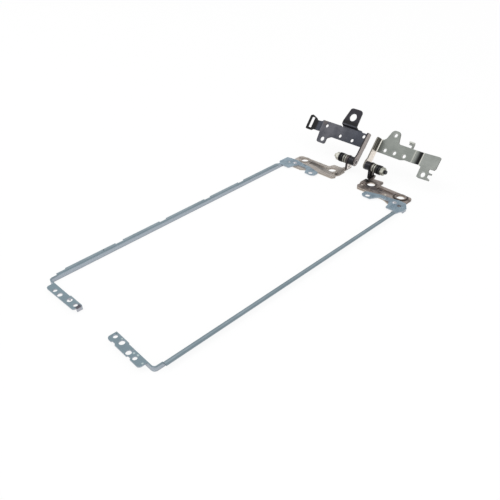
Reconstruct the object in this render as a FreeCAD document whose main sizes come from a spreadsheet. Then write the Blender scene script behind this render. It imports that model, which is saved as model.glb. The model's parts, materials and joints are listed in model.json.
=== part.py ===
"""Laptop hinge pair, lying side by side with both base brackets swung open.

Everything is modelled on the left hinge. Its frame has X along the display rail from the foot
corner towards the shaft, Y outward (so the foot tab and the arm reach to negative Y) and Z up
from the table. What both hinges share is mirrored to the right one, and so is the right base
bracket, whose outline differs. Lengths are in millimetres and angles in degrees.
"""
import FreeCAD
import Part
import math
import os
import re
import Sketcher

# Each size: alias, value, what it is
SIZES = [
    ("corner_gap_half", 42.93, "half the distance between the two foot corners"),
    ("splay", 1.03, "how far each rail turns outward from the row's Y axis"),
    ("lead", 1.68, "how far the right hinge lies ahead of the left one"),
    ("base_tilt", 53.5, "height angle of the left base bracket at rest, above its rail"),
    ("right_lean", 2.0, "how much further up the right base bracket stands"),
    ("rail_reach", 200, "foot corner to the arm's outer screw hole, along the rail"),
    ("rail_sheet", 0.7, "thickness of the display rail's sheet"),
    ("rail_height", 2.8, "height of the rail's web"),
    ("flange_width", 2.8, "width of the rail's top flange, web included"),
    ("bend_outside", 0.9, "outer radius of the rail's bends"),
    ("bend_inside", 0.2, "inner radius of the rail's bends"),
    ("corner_outside", 2.2, "outer radius where the web turns round the foot corner"),
    ("corner_inside", 1.5, "inner radius of the same turn"),
    ("foot_wall", 1.0, "distance from the corner to the foot wall's face"),
    ("flange_start", 3.5, "distance from the corner to the flange"),
    ("flange_full", 9.1, "distance from the corner to the flange at its full width"),
    ("flange_first", 2.0, "width of the left flange's narrow first stretch"),
    ("notch_depth", 0.9, "depth of the edge notches in the left flange"),
    ("notch_length", 5.2, "length of such a notch"),
    ("notch_first", 40.7, "distance from the corner to the first notch"),
    ("notch_second", 72.1, "to the second notch"),
    ("notch_third", 108.4, "to the third notch"),
    ("notch_fourth", 139.3, "to the fourth notch"),
    ("peg_hole_place", 32.5, "distance from the corner to the small hole in the left flange"),
    ("peg_hole", 0.45, "radius of that hole"),
    ("foot_length", 29.3, "reach of the foot tab inward"),
    ("foot_near", 4.2, "distance from the web to the foot tab's near edge"),
    ("foot_width", 4.9, "width of the foot tab's near half"),
    ("foot_jog", 19.2, "distance from the web to the foot tab's jog"),
    ("foot_shift", 0.5, "how far the far half is shifted"),
    ("foot_round", 1.6, "corner radius of the foot tab"),
    ("foot_lip_width", 3.0, "width of the left foot's turned-down lip"),
    ("foot_hole_one", 9.9, "distance from the web to the first foot hole"),
    ("foot_near_pitch", 4.7, "from the first foot hole to the second"),
    ("foot_far_pitch", 5.3, "from the third foot hole to the fourth"),
    ("foot_end_margin", 2.3, "from the fourth foot hole to the foot's end"),
    ("foot_hole_near", 3.9, "distance from the corner to the near two holes, along the rail"),
    ("foot_hole_far", 2.7, "to the far two holes"),
    ("foot_end_radius", 1.2, "radius of the first and fourth foot holes"),
    ("foot_middle_radius", 1.5, "radius of the second and third foot holes"),
    ("foot_notch_depth", 0.7, "depth of the right foot's two edge notches"),
    ("joggle_back", 22.0, "where the rail's end plate steps down, back from the outer screw hole"),
    ("joggle_run", 4.0, "length of that step"),
    ("tongue_back", 14.0, "end plate's tongue hole, back from the outer screw hole"),
    ("tongue_in", 22.9, "tongue hole, inward of the web"),
    ("tongue_hole", 1.7, "radius of the tongue hole"),
    ("tongue_round", 2.0, "corner radius of the tongue"),
    ("rivet_back", 9.6, "first rivet, back from the outer screw hole"),
    ("rivet_in", 5.4, "first rivet, inward of the web"),
    ("rivet_two_back", 8.0, "second rivet, back from the outer screw hole"),
    ("rivet_two_in", 12.6, "second rivet, inward of the web"),
    ("rivet_shank", 0.9, "radius of a rivet's shank"),
    ("rivet_head", 1.45, "radius of a rivet's head"),
    ("rivet_rise", 0.35, "height of a rivet's head"),
    ("gauge_hole", 1.1, "radius of the end plate's open hole over the arm"),
    ("end_near", 10.4, "end plate's hollow near edge, back from the outer screw hole"),
    ("end_far", 5.1, "end plate's far edge, back from the outer screw hole"),
    ("left_end_reach", 2.0, "how far the left end plate reaches past its flange"),
    ("right_end_reach", 1.3, "how far the right end plate reaches past its flange"),
    ("arm_sheet", 1.1, "thickness of the arm"),
    ("arm_clear", 0.2, "gap between the rail's web and the arm's outer edge"),
    ("arm_width", 4.2, "arm's far edge, past the outer screw hole"),
    ("arm_hole", 2.8, "radius of the arm's two screw holes"),
    ("arm_hole_in", 6.9, "outer screw hole, inward of the web"),
    ("arm_hole_pitch", 23.8, "distance between the screw holes, inward"),
    ("arm_hole_step", 1.2, "how far the inner screw hole is set forward"),
    ("arm_round", 2.6, "corner radius of the arm"),
    ("left_arm_near", 8.6, "left arm's near edge, back from the outer screw hole"),
    ("right_arm_near", 9.5, "right arm's near edge, back from the outer screw hole"),
    ("left_arm_corner", 13.3, "left arm's near corner, back from the outer screw hole"),
    ("right_arm_corner", 12.4, "right arm's near corner, back from the outer screw hole"),
    ("arm_wide", 8.6, "arm's far edge beside the ear, past the outer screw hole"),
    ("right_arm_tip", 1.2, "how far the right arm's corner stands past that edge"),
    ("right_arm_trim", 0.9, "how much shorter the right arm's inner end is at its near corner"),
    ("arm_pilot", 0.6, "radius of the arm's small tooling hole"),
    ("arm_lobe_hole", 1.2, "radius of the hole in the arm's inner lobe"),
    ("ring_width", 1.3, "width of the raised ring round the outer screw hole"),
    ("ring_rise", 0.3, "height of that ring"),
    ("groove_width", 3.2, "width of the arm's pressed groove"),
    ("groove_depth", 0.5, "depth of that groove"),
    ("shaft_ahead", 10.6, "shaft axis, ahead of the outer screw hole"),
    ("shaft_height", 7.96, "height of the shaft axis above the table"),
    ("bar_inward", 43.24, "bar's inner face, inward of the web"),
    ("ear_half", 3.35, "half the ear's width and the radius of its top"),
    ("ear_bend", 1.3, "outer radius of the ear's bend"),
    ("lock_drop", 5.0, "lock hole in the ear, below the shaft"),
    ("lock_hole", 0.8, "radius of the lock hole"),
    ("shaft_core", 1.75, "radius of the shaft's D-section"),
    ("shaft_flat", 1.3, "distance from the shaft axis to its flat"),
    ("shaft_barrel", 3.0, "radius of the shaft's barrel"),
    ("shaft_thread", 1.5, "radius of the shaft's thread"),
    ("shaft_root", 1.3, "radius at the thread's root, past the nut"),
    ("barrel_length", 3.9, "length of the barrel, between bar and ear"),
    ("thread_proud", 1.6, "how far the thread stands past the nut"),
    ("shaft_rivet", 2.3, "radius of the shaft's riveted end"),
    ("shaft_rivet_rise", 0.3, "how far the riveted end stands proud of the bar"),
    ("running_gap", 0.05, "radial gap round the turning shaft"),
    ("face_gap", 0.03, "gap between faces that turn against each other"),
    ("key_gap", 0.04, "gap between the D-section and the washers keyed to it"),
    ("washer_radius", 3.1, "outer radius of the washers"),
    ("washer_sheet", 0.8, "thickness of a washer"),
    ("spring_radius", 3.25, "outer radius of the spring washers"),
    ("spring_sheet", 0.5, "thickness of a spring washer"),
    ("spring_dish", 0.3, "how far a spring washer is dished"),
    ("nut_flats", 5.0, "distance across the nut's flats"),
    ("nut_length", 2.4, "length of the nut"),
    ("base_sheet", 1.0, "thickness of the base brackets' sheet"),
    ("plate_drop", 5.0, "plate's far face, behind the shaft axis"),
    ("bar_round", 3.0, "radius of the bars' shaft end"),
    ("bar_eye", 3.0, "how far a bar reaches in front of the shaft, beside it"),
    ("bar_foot", 3.0, "how far a bar reaches past the shaft"),
    ("left_bar_length", 21.9, "left bar, from the shaft to its top"),
    ("left_bar_near", 1.9, "left bar's near edge above the shaft, in front of the shaft"),
    ("left_bar_lean", 0.8, "how far that edge leans back at the bar's top"),
    ("left_bar_back", 3.1, "left bar's rear edge at its shaft end, behind the shaft"),
    ("right_bar_length", 20.5, "right bar, from the shaft to its top"),
    ("right_bar_near", 1.9, "right bar's near edge, in front of the shaft"),
    ("plate_low", 11.4, "lower edge of the plates, from the shaft"),
    ("plate_high", 21.5, "upper edge of the plates, from the shaft"),
    ("left_bend_outside", 1.3, "outer radius of the bend between the left bar and its plate"),
    ("left_bend_inside", 0.3, "inner radius of that bend"),
    ("right_bend_outside", 1.9, "outer radius of the bend between the right bar and its plate"),
    ("right_bend_inside", 0.9, "inner radius of that bend"),
    ("base_bend_outside", 0.8, "outer radius of the small bends in the plates"),
    ("base_bend_inside", 0.4, "inner radius of those bends"),
    ("left_width", 40.8, "left plate's width, outward of the bar"),
    ("left_leg_low", 5.0, "bottom of the left plate's leg, from the shaft"),
    ("left_leg_width", 8.2, "width of the left plate's leg"),
    ("left_leg_hole_away", 8.2, "left leg's screw hole, from the shaft"),
    ("left_leg_hole_margin", 4.9, "that hole, inward of the plate's outer edge"),
    ("left_top_hole_away", 19.1, "left plate's hole next to the bar, from the shaft"),
    ("left_top_hole_out", 5.0, "that hole, outward of the bar"),
    ("left_far_hole_away", 18.2, "left plate's outermost small hole, from the shaft"),
    ("left_far_hole_margin", 4.1, "that hole, inward of the plate's outer edge"),
    ("left_near_hole_away", 13.9, "left plate's second small hole, from the shaft"),
    ("left_near_hole_out", 12.4, "that hole, outward of the bar"),
    ("left_middle_hole_away", 14.2, "left plate's third small hole, from the shaft"),
    ("left_middle_hole_out", 22.9, "that hole, outward of the bar"),
    ("left_step", 2.5, "how far the left loop is stepped back"),
    ("left_step_run", 2.0, "length of that step"),
    ("neck_length", 8.4, "from the left plate's outer edge to its loop"),
    ("loop_width", 6.2, "width of the left loop"),
    ("loop_low", 11.9, "lower end of the left loop, from the shaft"),
    ("loop_high", 23.4, "upper end of the left loop, from the shaft"),
    ("loop_rim", 1.7, "width of the left loop's rim"),
    ("left_tab_rise", 3.0, "how far the left plate's big-hole tab is stepped forward"),
    ("left_tab_foot", 22.7, "where that tab rises, from the shaft"),
    ("left_tab_run", 0.9, "how far that rise leans away from the shaft"),
    ("left_tab_top", 35.2, "top of that tab, from the shaft"),
    ("left_tab_in", 11.7, "that tab's side towards the bar"),
    ("left_tab_out", 24.1, "that tab's outer side at its foot"),
    ("left_tab_taper", 2.3, "how far that side leans in at the top"),
    ("left_tab_round", 2.2, "corner radius of that tab"),
    ("big_hole_away", 29.0, "that tab's hole, from the shaft"),
    ("big_hole_out", 17.7, "that hole, outward of the bar"),
    ("big_hole", 2.75, "radius of that hole"),
    ("small_hole", 1.25, "radius of the plates' small screw holes"),
    ("leg_hole", 1.65, "radius of the screw holes in the plates' legs"),
    ("right_step_start", 28.4, "where the right plate steps back, outward of the bar"),
    ("right_step_run", 3.0, "length of that step"),
    ("right_step", 3.0, "how far the right plate's outer part is stepped back"),
    ("right_width", 44.6, "right plate's width, outward of the bar"),
    ("right_leg_low", 5.0, "bottom of the right plate's leg, from the shaft"),
    ("right_leg_in", 34.4, "inner side of the right plate's leg"),
    ("right_leg_width", 6.8, "width of the right plate's leg"),
    ("right_leg_hole_away", 8.0, "right leg's screw hole, from the shaft"),
    ("right_leg_hole_in", 3.6, "that hole, outward of the leg's inner side"),
    ("prong_length", 2.4, "length of the two prongs on that leg"),
    ("prong_width", 0.9, "width of those prongs"),
    ("prong_gap_low", 6.9, "lower prong's upper side, from the shaft"),
    ("prong_gap_high", 9.5, "upper prong's lower side"),
    ("right_low_hole_away", 14.1, "right plate's hole next to the bar, from the shaft"),
    ("right_low_hole_out", 6.7, "that hole, outward of the bar"),
    ("right_middle_hole_away", 14.4, "right plate's second small hole, from the shaft"),
    ("right_middle_hole_out", 14.1, "that hole, outward of the bar"),
    ("right_far_hole_away", 14.6, "right plate's third small hole, from the shaft"),
    ("right_far_hole_out", 21.6, "that hole, outward of the bar"),
    ("lobe_hole_away", 25.9, "hole in the right plate's lobe, from the shaft"),
    ("lobe_hole_out", 9.5, "that hole, outward of the bar"),
    ("lobe_high", 28.9, "top of the right plate's lobe, from the shaft"),
    ("lobe_out", 12.9, "outer side of that lobe"),
    ("lobe_in", 6.4, "inner side of that lobe at its top"),
    ("lobe_round", 2.9, "corner radius of that lobe"),
    ("hook_out", 25.0, "outer side of the right plate's curled hook"),
    ("hook_width", 3.8, "width of that hook's head"),
    ("hook_stem", 1.3, "width of its stem"),
    ("hook_top", 25.2, "top of that hook, from the shaft"),
    ("hook_head", 2.3, "height of its head"),
    ("hook_rise", 2.2, "how far that hook curls forward, sheet included"),
    ("plate_round", 1.0, "corner radius of the plates"),
    ("edge_break", 0.3, "small bevel on turned and hexagonal pieces"),
]
ALIASES = {alias for alias, value, meaning in SIZES}

doc = FreeCAD.newDocument("LaptopHingePair")
sheet = doc.addObject("Spreadsheet::Sheet", "Sizes")
for row, (alias, value, meaning) in enumerate(SIZES, start=1):
    sheet.set("A%d" % row, meaning)
    sheet.set("B%d" % row, str(value))
    sheet.setAlias("B%d" % row, alias)
doc.recompute()


def size(alias):
    """The number in one cell."""
    return float(sheet.get(alias))


def linked(text):
    """An expression in plain aliases, made to point at the sheet."""
    return re.sub(r"[a-z_]+", lambda word: "Sizes." + word[0] if word[0] in ALIASES else word[0], text)


def bind(item, name, text):
    """Tie one property to an expression in plain aliases."""
    item.setExpression(name, linked(text))


def new_body(name):
    return doc.addObject("PartDesign::Body", name)


def draw(body, name, role, lift, loops=(), circles=()):
    """A sketch on one of the body's own planes, with closed loops of corners and with circles.

    Corners and centres are pairs of expressions; a circle also has its radius.
    """
    sketch = body.newObject("Sketcher::SketchObject", name)
    base_plane = [item for item in body.Origin.OriginFeatures if item.Role == role][0]
    sketch.AttachmentSupport = (base_plane, "")
    sketch.MapMode = "FlatFace"
    bind(sketch, ".AttachmentOffset.Base.z", lift)
    for corners in loops:
        first = sketch.GeometryCount
        count = len(corners)
        ring = [FreeCAD.Vector(math.cos(2 * math.pi * i / count), math.sin(2 * math.pi * i / count), 0)
                for i in range(count)]
        for i in range(count):
            sketch.addGeometry(Part.LineSegment(ring[i], ring[(i + 1) % count]), False)
        for i in range(count):
            following = first + (i + 1) % count
            sketch.addConstraint(Sketcher.Constraint("Coincident", first + i, 2, following, 1))
        for i, corner in enumerate(corners):
            place_point(sketch, first + i, 1, corner)
    for across, up, radius in circles:
        index = sketch.addGeometry(Part.Circle(FreeCAD.Vector(0, 0, 0), FreeCAD.Vector(0, 0, 1), 1), False)
        place_point(sketch, index, 3, (across, up))
        constraint = sketch.addConstraint(Sketcher.Constraint("Radius", index, 1))
        bind(sketch, "Constraints[%d]" % constraint, radius)
    return sketch


def place_point(sketch, index, end, point):
    """Dimension one point of a sketch from the sketch's origin."""
    for kind, text in zip(("DistanceX", "DistanceY"), point):
        constraint = sketch.addConstraint(Sketcher.Constraint(kind, -1, 1, index, end, 1))
        bind(sketch, "Constraints[%d]" % constraint, text)


def pad(body, sketch, length, reversed_way=False):
    feature = body.newObject("PartDesign::Pad", sketch.Name + "Pad")
    feature.Profile = sketch
    feature.Reversed = reversed_way
    bind(feature, "Length", length)
    doc.recompute()
    return feature


def pocket(body, sketch, length, reversed_way=False):
    """A pocket that must take something away."""
    before = body.Shape.Volume
    feature = body.newObject("PartDesign::Pocket", sketch.Name + "Pocket")
    feature.Profile = sketch
    feature.Reversed = reversed_way
    bind(feature, "Length", length)
    doc.recompute()
    if not body.Shape.Volume < before:
        raise RuntimeError("the pocket of %s cuts nothing" % sketch.Name)
    return feature


def turn(body, sketch):
    """A full revolution about the sketch's vertical axis."""
    feature = body.newObject("PartDesign::Revolution", sketch.Name + "Turned")
    feature.Profile = sketch
    feature.ReferenceAxis = (sketch, ["V_Axis"])
    feature.Angle = 360
    doc.recompute()
    return feature


def round_edges(body, radius, chosen):
    """Fillet the edges of the body's last feature whose middle and direction are chosen."""
    last = body.Tip
    names = []
    for number, edge in enumerate(last.Shape.Edges, start=1):
        if not isinstance(edge.Curve, Part.Line):
            continue
        middle = edge.valueAt((edge.FirstParameter + edge.LastParameter) / 2)
        direction = (edge.Vertexes[-1].Point - edge.Vertexes[0].Point).normalize()
        if chosen(middle, direction):
            names.append("Edge%d" % number)
    if not names:
        raise RuntimeError("no edge found to round on %s" % body.Name)
    feature = body.newObject("PartDesign::Fillet", body.Name + "Round%d" % len(body.Group))
    feature.Base = (last, names)
    bind(feature, "Radius", radius)
    doc.recompute()
    return feature


def round_corners(body, sketch, radius, corners):
    """Fillet the upright edges that stand on the numbered corners of a sketch."""
    points = [sketch.Placement.multVec(sketch.Geometry[i].StartPoint) for i in corners]
    upright = sketch.Placement.Rotation.multVec(FreeCAD.Vector(0, 0, 1))

    def chosen(middle, direction):
        if abs(abs(direction.dot(upright)) - 1) > 1e-6:
            return False
        return any(((middle - point) - upright * (middle - point).dot(upright)).Length < 1e-4 for point in points)

    return round_edges(body, radius, chosen)


def combine(kind, name, pieces):
    """A boolean of several pieces that have the same frame."""
    result = doc.addObject(kind, name)
    if kind == "Part::Cut":
        result.Base, result.Tool = pieces
    else:
        result.Shapes = pieces
    doc.recompute()
    return result


def inward(points):
    """Plan corners given as (along, inward), turned into sketch corners."""
    return [(along, "-(%s)" % reach) for along, reach in points]


def inward_circles(circles):
    return [(along, "-(%s)" % reach, radius) for along, reach, radius in circles]


# Named places along the stack on the shaft, outward of the bar's inner face
BARREL_END = "base_sheet + barrel_length"
EAR_START = BARREL_END + " + face_gap"
EAR_END = EAR_START + " + arm_sheet"
SHAFT_X = "rail_reach + shaft_ahead"
EAR_INWARD = "bar_inward - base_sheet - barrel_length - face_gap"
WASHER_COUNT = 5
SPRING_COUNT = 4


def washer_start(number):
    """Where a washer starts; the tab washer is number 0 and lies against the ear."""
    after_tab = " + face_gap" if number > 0 else ""
    return EAR_END + after_tab + " + %d * washer_sheet" % number


SPRING_START = washer_start(WASHER_COUNT)
SPRING_PITCH = "(spring_sheet + spring_dish)"
NUT_START = SPRING_START + " + %d * %s" % (SPRING_COUNT, SPRING_PITCH)
SHAFT_END = NUT_START + " + nut_length + thread_proud"


FOOT_HOLE_FOUR = "foot_length - foot_end_margin"
FOOT_HOLE_THREE = FOOT_HOLE_FOUR + " - foot_far_pitch"


# Display rail
def rail_strip(prefix, left):
    """The straight stretch: an upright web with a flange folded outward at its top."""
    body = new_body(prefix + "Strip")
    section = draw(body, prefix + "Section", "YZ_Plane", "flange_start", [[
        ("0", "0"), ("0", "rail_height"), ("flange_width", "rail_height"),
        ("flange_width", "rail_height - rail_sheet"), ("rail_sheet", "rail_height - rail_sheet"),
        ("rail_sheet", "0"),
    ]])
    pad(body, section, "rail_reach - joggle_back - flange_start")
    round_corners(body, section, "bend_outside", [1])
    round_corners(body, section, "bend_inside", [4])
    if left:
        narrow = draw(body, prefix + "Narrow", "XY_Plane", "rail_height - 2 * rail_sheet", [[
            ("flange_start - 1", "flange_first"), ("flange_full", "flange_first"),
            ("flange_full", "flange_width + 1"), ("flange_start - 1", "flange_width + 1"),
        ]])
        pocket(body, narrow, "3 * rail_sheet", True)
    return body


def flange_notches(body):
    """Four bites out of the flange's edge and a small peg hole, only on the left hinge."""
    inner = "flange_width - notch_depth"
    places = ("notch_first", "notch_second", "notch_third", "notch_fourth")
    loops = [[
        (place, inner), (place + " + notch_length", inner),
        (place + " + notch_length", "flange_width + 1"), (place, "flange_width + 1"),
    ] for place in places]
    peg = [("peg_hole_place", "flange_width / 2 + peg_hole", "peg_hole")]
    bites = draw(body, "FlangeNotches", "XY_Plane", "rail_height - 2 * rail_sheet", loops, peg)
    pocket(body, bites, "3 * rail_sheet", True)


def rail_foot(prefix, left):
    """The web turned round the corner, with the four-hole tab folded out from its top."""
    body = new_body(prefix + "Foot")
    wall_face = "-foot_wall"
    wall_back = "-foot_wall - rail_sheet"
    turn_path = draw(body, prefix + "Turn", "XY_Plane", "0", [[
        ("flange_start", "0"), ("flange_start", "rail_sheet"), (wall_back, "rail_sheet"),
        (wall_back, "-foot_jog"), (wall_face, "-foot_jog"), (wall_face, "0"),
    ]])
    pad(body, turn_path, "rail_height")
    round_corners(body, turn_path, "corner_outside", [2])
    round_corners(body, turn_path, "corner_inside", [5])
    near_outer = "-foot_wall - foot_width"
    far_outer = "-foot_wall - foot_width + foot_shift"
    far_inner = "-foot_wall + foot_shift"
    outline = [(wall_face, "foot_near - 2"), (wall_back, "foot_near - 2"), (wall_back, "foot_near"),
               (near_outer, "foot_near")]
    if not left:
        cut = near_outer + " + foot_notch_depth"
        for first, pitch in (("foot_hole_one", "foot_near_pitch"), (FOOT_HOLE_THREE, "foot_far_pitch")):
            middle = "%s + %s / 2" % (first, pitch)
            outline += [(near_outer, middle + " - %s * 0.3" % pitch), (cut, middle + " - %s * 0.22" % pitch),
                        (cut, middle + " + %s * 0.22" % pitch), (near_outer, middle + " + %s * 0.3" % pitch)]
    outline += [(near_outer if not left else far_outer, "foot_length"), (far_inner, "foot_length"),
                (far_inner, "foot_jog"), (wall_face, "foot_jog")]
    holes = [("-foot_hole_near", "foot_hole_one", "foot_end_radius"),
             ("-foot_hole_near", "foot_hole_one + foot_near_pitch", "foot_middle_radius"),
             ("-foot_hole_far", FOOT_HOLE_THREE, "foot_middle_radius"),
             ("-foot_hole_far", FOOT_HOLE_FOUR, "foot_end_radius")]
    tab = draw(body, prefix + "Tab", "XY_Plane", "rail_height - rail_sheet", [inward(outline)],
               inward_circles(holes))
    pad(body, tab, "rail_sheet")
    far_corner = len(outline) - 4
    round_corners(body, tab, "foot_round", [3, far_corner])
    if left:
        lip = draw(body, prefix + "Lip", "XY_Plane", "0", [inward([
            (far_inner, "foot_length - rail_sheet"), (far_inner, "foot_length"),
            (far_inner + " - foot_lip_width", "foot_length"),
            (far_inner + " - foot_lip_width", "foot_length - rail_sheet"),
        ])])
        pad(body, lip, "rail_height")
    return body


def rail_end(prefix, left):
    """The end plate that steps down onto the arm, as a folded strip cut to its outline."""
    past = "left_end_reach" if left else "right_end_reach"
    corner = "end_far + 1" if left else "end_far + 5.5"
    edge = "-flange_width - " + past
    back = "rail_reach - joggle_back"
    low = back + " + joggle_run"
    top = "arm_sheet + rail_sheet"
    fold = new_body(prefix + "EndFold")
    profile = draw(fold, prefix + "EndProfile", "XZ_Plane", "-flange_width - 4", [[
        (back + " - 2", "rail_height"), (back, "rail_height"), (low, top), ("rail_reach", top),
        ("rail_reach", "arm_sheet"), (low, "arm_sheet"), (back, "rail_height - rail_sheet"),
        (back + " - 2", "rail_height - rail_sheet"),
    ]])
    pad(fold, profile, "flange_width + bar_inward")
    blank = new_body(prefix + "EndBlank")
    outline = [
        (back + " - 0.3", "-flange_width"), (back + " + 5", "-flange_width"), (back + " + 7", edge),
        ("rail_reach - (%s)" % corner, edge), ("rail_reach - end_far - 0.3", "-0.5"),
        ("rail_reach - end_far", "rivet_in - 0.9"), ("rail_reach - end_far - 1.3", "rivet_two_in - 2.6"),
        ("rail_reach - end_far - 2.1", "tongue_in - 5.9"), ("rail_reach - tongue_back + 4.6", "tongue_in + 1.2"),
        ("rail_reach - tongue_back + 3.6", "tongue_in + 4.2"), ("rail_reach - tongue_back - 1", "tongue_in + 4.2"),
        ("rail_reach - tongue_back - 2.6", "tongue_in + 1.9"), ("rail_reach - tongue_back - 2.4", "tongue_in - 3.3"),
        ("rail_reach - tongue_back + 1", "tongue_in - 5.1"), ("rail_reach - end_near", "rivet_two_in + 3.2"),
        ("rail_reach - end_near", "rivet_two_in - 3.6"), ("rail_reach - end_near - 4.4", "rivet_in + 1.6"),
        (back + " + joggle_run - 0.4", "rivet_in + 1"), (back + " + joggle_run - 0.4", "0"),
        (back + " - 0.3", "0"),
    ]
    holes = [("rail_reach - tongue_back", "tongue_in", "tongue_hole"),
             ("rail_reach - rivet_back", "rivet_in", "rivet_shank"),
             ("rail_reach - rivet_two_back", "rivet_two_in", "rivet_shank"),
             ("rail_reach - rivet_back - 1.4", "rivet_in - 4.3", "gauge_hole")]
    plan = draw(blank, prefix + "EndPlan", "XY_Plane", "0", [inward(outline)], inward_circles(holes))
    pad(blank, plan, "2 * rail_height")
    round_corners(blank, plan, "tongue_round", [9, 10])
    round_corners(blank, plan, "plate_round", [3, 4, 11, 14, 15, 17])
    plate = combine("Part::MultiCommon", prefix + "EndPlate", [fold, blank])
    web = new_body(prefix + "EndWeb")
    side = draw(web, prefix + "EndSide", "XZ_Plane", "-rail_sheet", [[
        (back, "0"), (back, "rail_height"), (low, top), ("rail_reach - 12", top), ("rail_reach - 12", "0"),
    ]])
    pad(web, side, "rail_sheet")
    drop = new_body(prefix + "DropTab")
    start, end = back + " + 7.4", "rail_reach - (%s) - 0.4" % corner
    tab = draw(drop, prefix + "DropPlan", "XY_Plane", "0", [inward([
        (start, edge), (end, edge), (end, edge + " + rail_sheet"), (start, edge + " + rail_sheet"),
    ])])
    pad(drop, tab, "arm_sheet + rail_sheet - 0.2")
    return [plate, web, drop]


def display_rail(name, left):
    strip = rail_strip(name, left)
    if left:
        flange_notches(strip)
    foot = rail_foot(name, left)
    return combine("Part::MultiFuse", name, [strip, foot] + rail_end(name, left))


# Hinge arm
def hinge_arm(name, left):
    """The arm's plate, its raised ring and groove, and the ear that carries the shaft."""
    body = new_body(name)
    near = "rail_reach - left_arm_near" if left else "rail_reach - right_arm_near"
    corner = "rail_reach - left_arm_corner" if left else "rail_reach - right_arm_corner"
    end = EAR_INWARD + (" + 0.3" if left else " - 0.4")
    tip = "" if left else " + right_arm_tip"
    trim = "" if left else " - right_arm_trim"
    outline = [
        ("rail_reach - rivet_back + 2.1", "arm_clear"), ("rail_reach + arm_width", "arm_clear"),
        ("rail_reach + arm_width", "arm_hole_in + arm_hole_pitch - 5"),
        ("rail_reach + arm_wide" + tip, "arm_hole_in + arm_hole_pitch - 3.4" + tip.replace("+", "-")),
        ("rail_reach + arm_wide", EAR_INWARD + " - 4.6"), (SHAFT_X + " + ear_half", EAR_INWARD + " - 2.6"),
        (SHAFT_X + " + ear_half", EAR_INWARD), (SHAFT_X + " - ear_half", EAR_INWARD),
        (SHAFT_X + " - ear_half", EAR_INWARD + " - 2.2"), ("rail_reach + arm_wide - 3.4", EAR_INWARD + " - 2.2"),
        ("rail_reach + arm_wide - 3.4", end), ("rail_reach - 1.2", end),
        ("rail_reach - 3.6", end + " - 1.2"), ("rail_reach - 6", end + trim),
        (near, end + " - 1.5" + 2 * trim),
        (near, "rivet_two_in + 6.9"), (corner if left else near + " - 0.3", "rivet_two_in + 0.7"),
        (corner, "rivet_in + 0.6" if left else "rivet_in + 2.2"),
        ("rail_reach - rivet_back - 1.6", "rivet_in - 2.6"),
    ]
    hole_two = "arm_hole_in + arm_hole_pitch"
    holes = [("rail_reach", "arm_hole_in", "arm_hole"),
             ("rail_reach + arm_hole_step", hole_two, "arm_hole"),
             ("rail_reach + 0.4", hole_two + " - 4.6", "arm_pilot"),
             ("rail_reach - 3.4", hole_two + " + 4.3", "arm_lobe_hole"),
             ("rail_reach - rivet_back", "rivet_in", "rivet_shank"),
             ("rail_reach - rivet_two_back", "rivet_two_in", "rivet_shank")]
    plan = draw(body, name + "Plan", "XY_Plane", "0", [inward(outline)], inward_circles(holes))
    pad(body, plan, "arm_sheet")
    round_corners(body, plan, "arm_round", [1])
    round_corners(body, plan, "plate_round", [2, 3, 4, 13, 14, 16, 17, 18])
    ring = draw(body, name + "Ring", "XY_Plane", "arm_sheet - 0.2", (), inward_circles([
        ("rail_reach", "arm_hole_in", "arm_hole"), ("rail_reach", "arm_hole_in", "arm_hole + ring_width")]))
    pad(body, ring, "ring_rise + 0.2")
    groove = draw(body, name + "Groove", "XY_Plane", "arm_sheet - groove_depth", [inward([
        ("rail_reach - 1 - groove_width / 2", "arm_hole_in + arm_hole + ring_width + 1.4"),
        ("rail_reach - 1 + groove_width / 2", "arm_hole_in + arm_hole + ring_width + 1.4"),
        ("rail_reach + groove_width / 2 - 0.4", hole_two + " - 6.4"),
        ("rail_reach - groove_width / 2 - 0.4", hole_two + " - 6.4"),
    ])])
    pocket(body, groove, "2 * groove_depth", True)
    ear = draw(body, name + "Ear", "XZ_Plane", EAR_INWARD + " - arm_sheet", [[
        (SHAFT_X + " - ear_half", "0"), (SHAFT_X + " - ear_half", "shaft_height"),
        (SHAFT_X + " + ear_half", "shaft_height"), (SHAFT_X + " + ear_half", "0"),
    ]])
    pad(body, ear, "arm_sheet")
    crown = draw(body, name + "Crown", "XZ_Plane", EAR_INWARD + " - arm_sheet", (), [
        (SHAFT_X, "shaft_height", "ear_half")])
    pad(body, crown, "arm_sheet")
    bores = draw(body, name + "Bores", "XZ_Plane", EAR_INWARD + " - 2 * arm_sheet", (), [
        (SHAFT_X, "shaft_height", "shaft_core + running_gap"),
        (SHAFT_X, "shaft_height - lock_drop", "lock_hole")])
    pocket(body, bores, "4 * arm_sheet", True)
    reach = size("bar_inward") - size("base_sheet") - size("barrel_length") - size("face_gap")

    def outer_bend(middle, direction):
        return abs(direction.x) > 0.999 and abs(middle.z) < 1e-4 and abs(middle.y + reach) < 1e-4 \
            and middle.x > size("rail_reach") + size("shaft_ahead") - size("ear_half")

    def inner_bend(middle, direction):
        return abs(direction.x) > 0.999 and abs(middle.z - size("arm_sheet")) < 1e-4 \
            and abs(middle.y + reach - size("arm_sheet")) < 1e-4

    round_edges(body, "ear_bend", outer_bend)
    round_edges(body, "bend_inside", inner_bend)
    return body


def rivet(name, back, reach):
    """A round-headed rivet through rail and arm, closed flush underneath."""
    body = new_body(name)
    top = "arm_sheet + rail_sheet"
    profile = draw(body, name + "Profile", "XZ_Plane", "0", [[
        ("0", "0"), ("rivet_shank", "0"), ("rivet_shank", top), ("rivet_head", top),
        ("rivet_head * 0.7", top + " + rivet_rise"), ("0", top + " + rivet_rise"),
    ]])
    turn(body, profile)
    place = FreeCAD.Vector(size("rail_reach") - size(back), -size(reach), 0)
    return body, FreeCAD.Placement(place, FreeCAD.Rotation())


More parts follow.
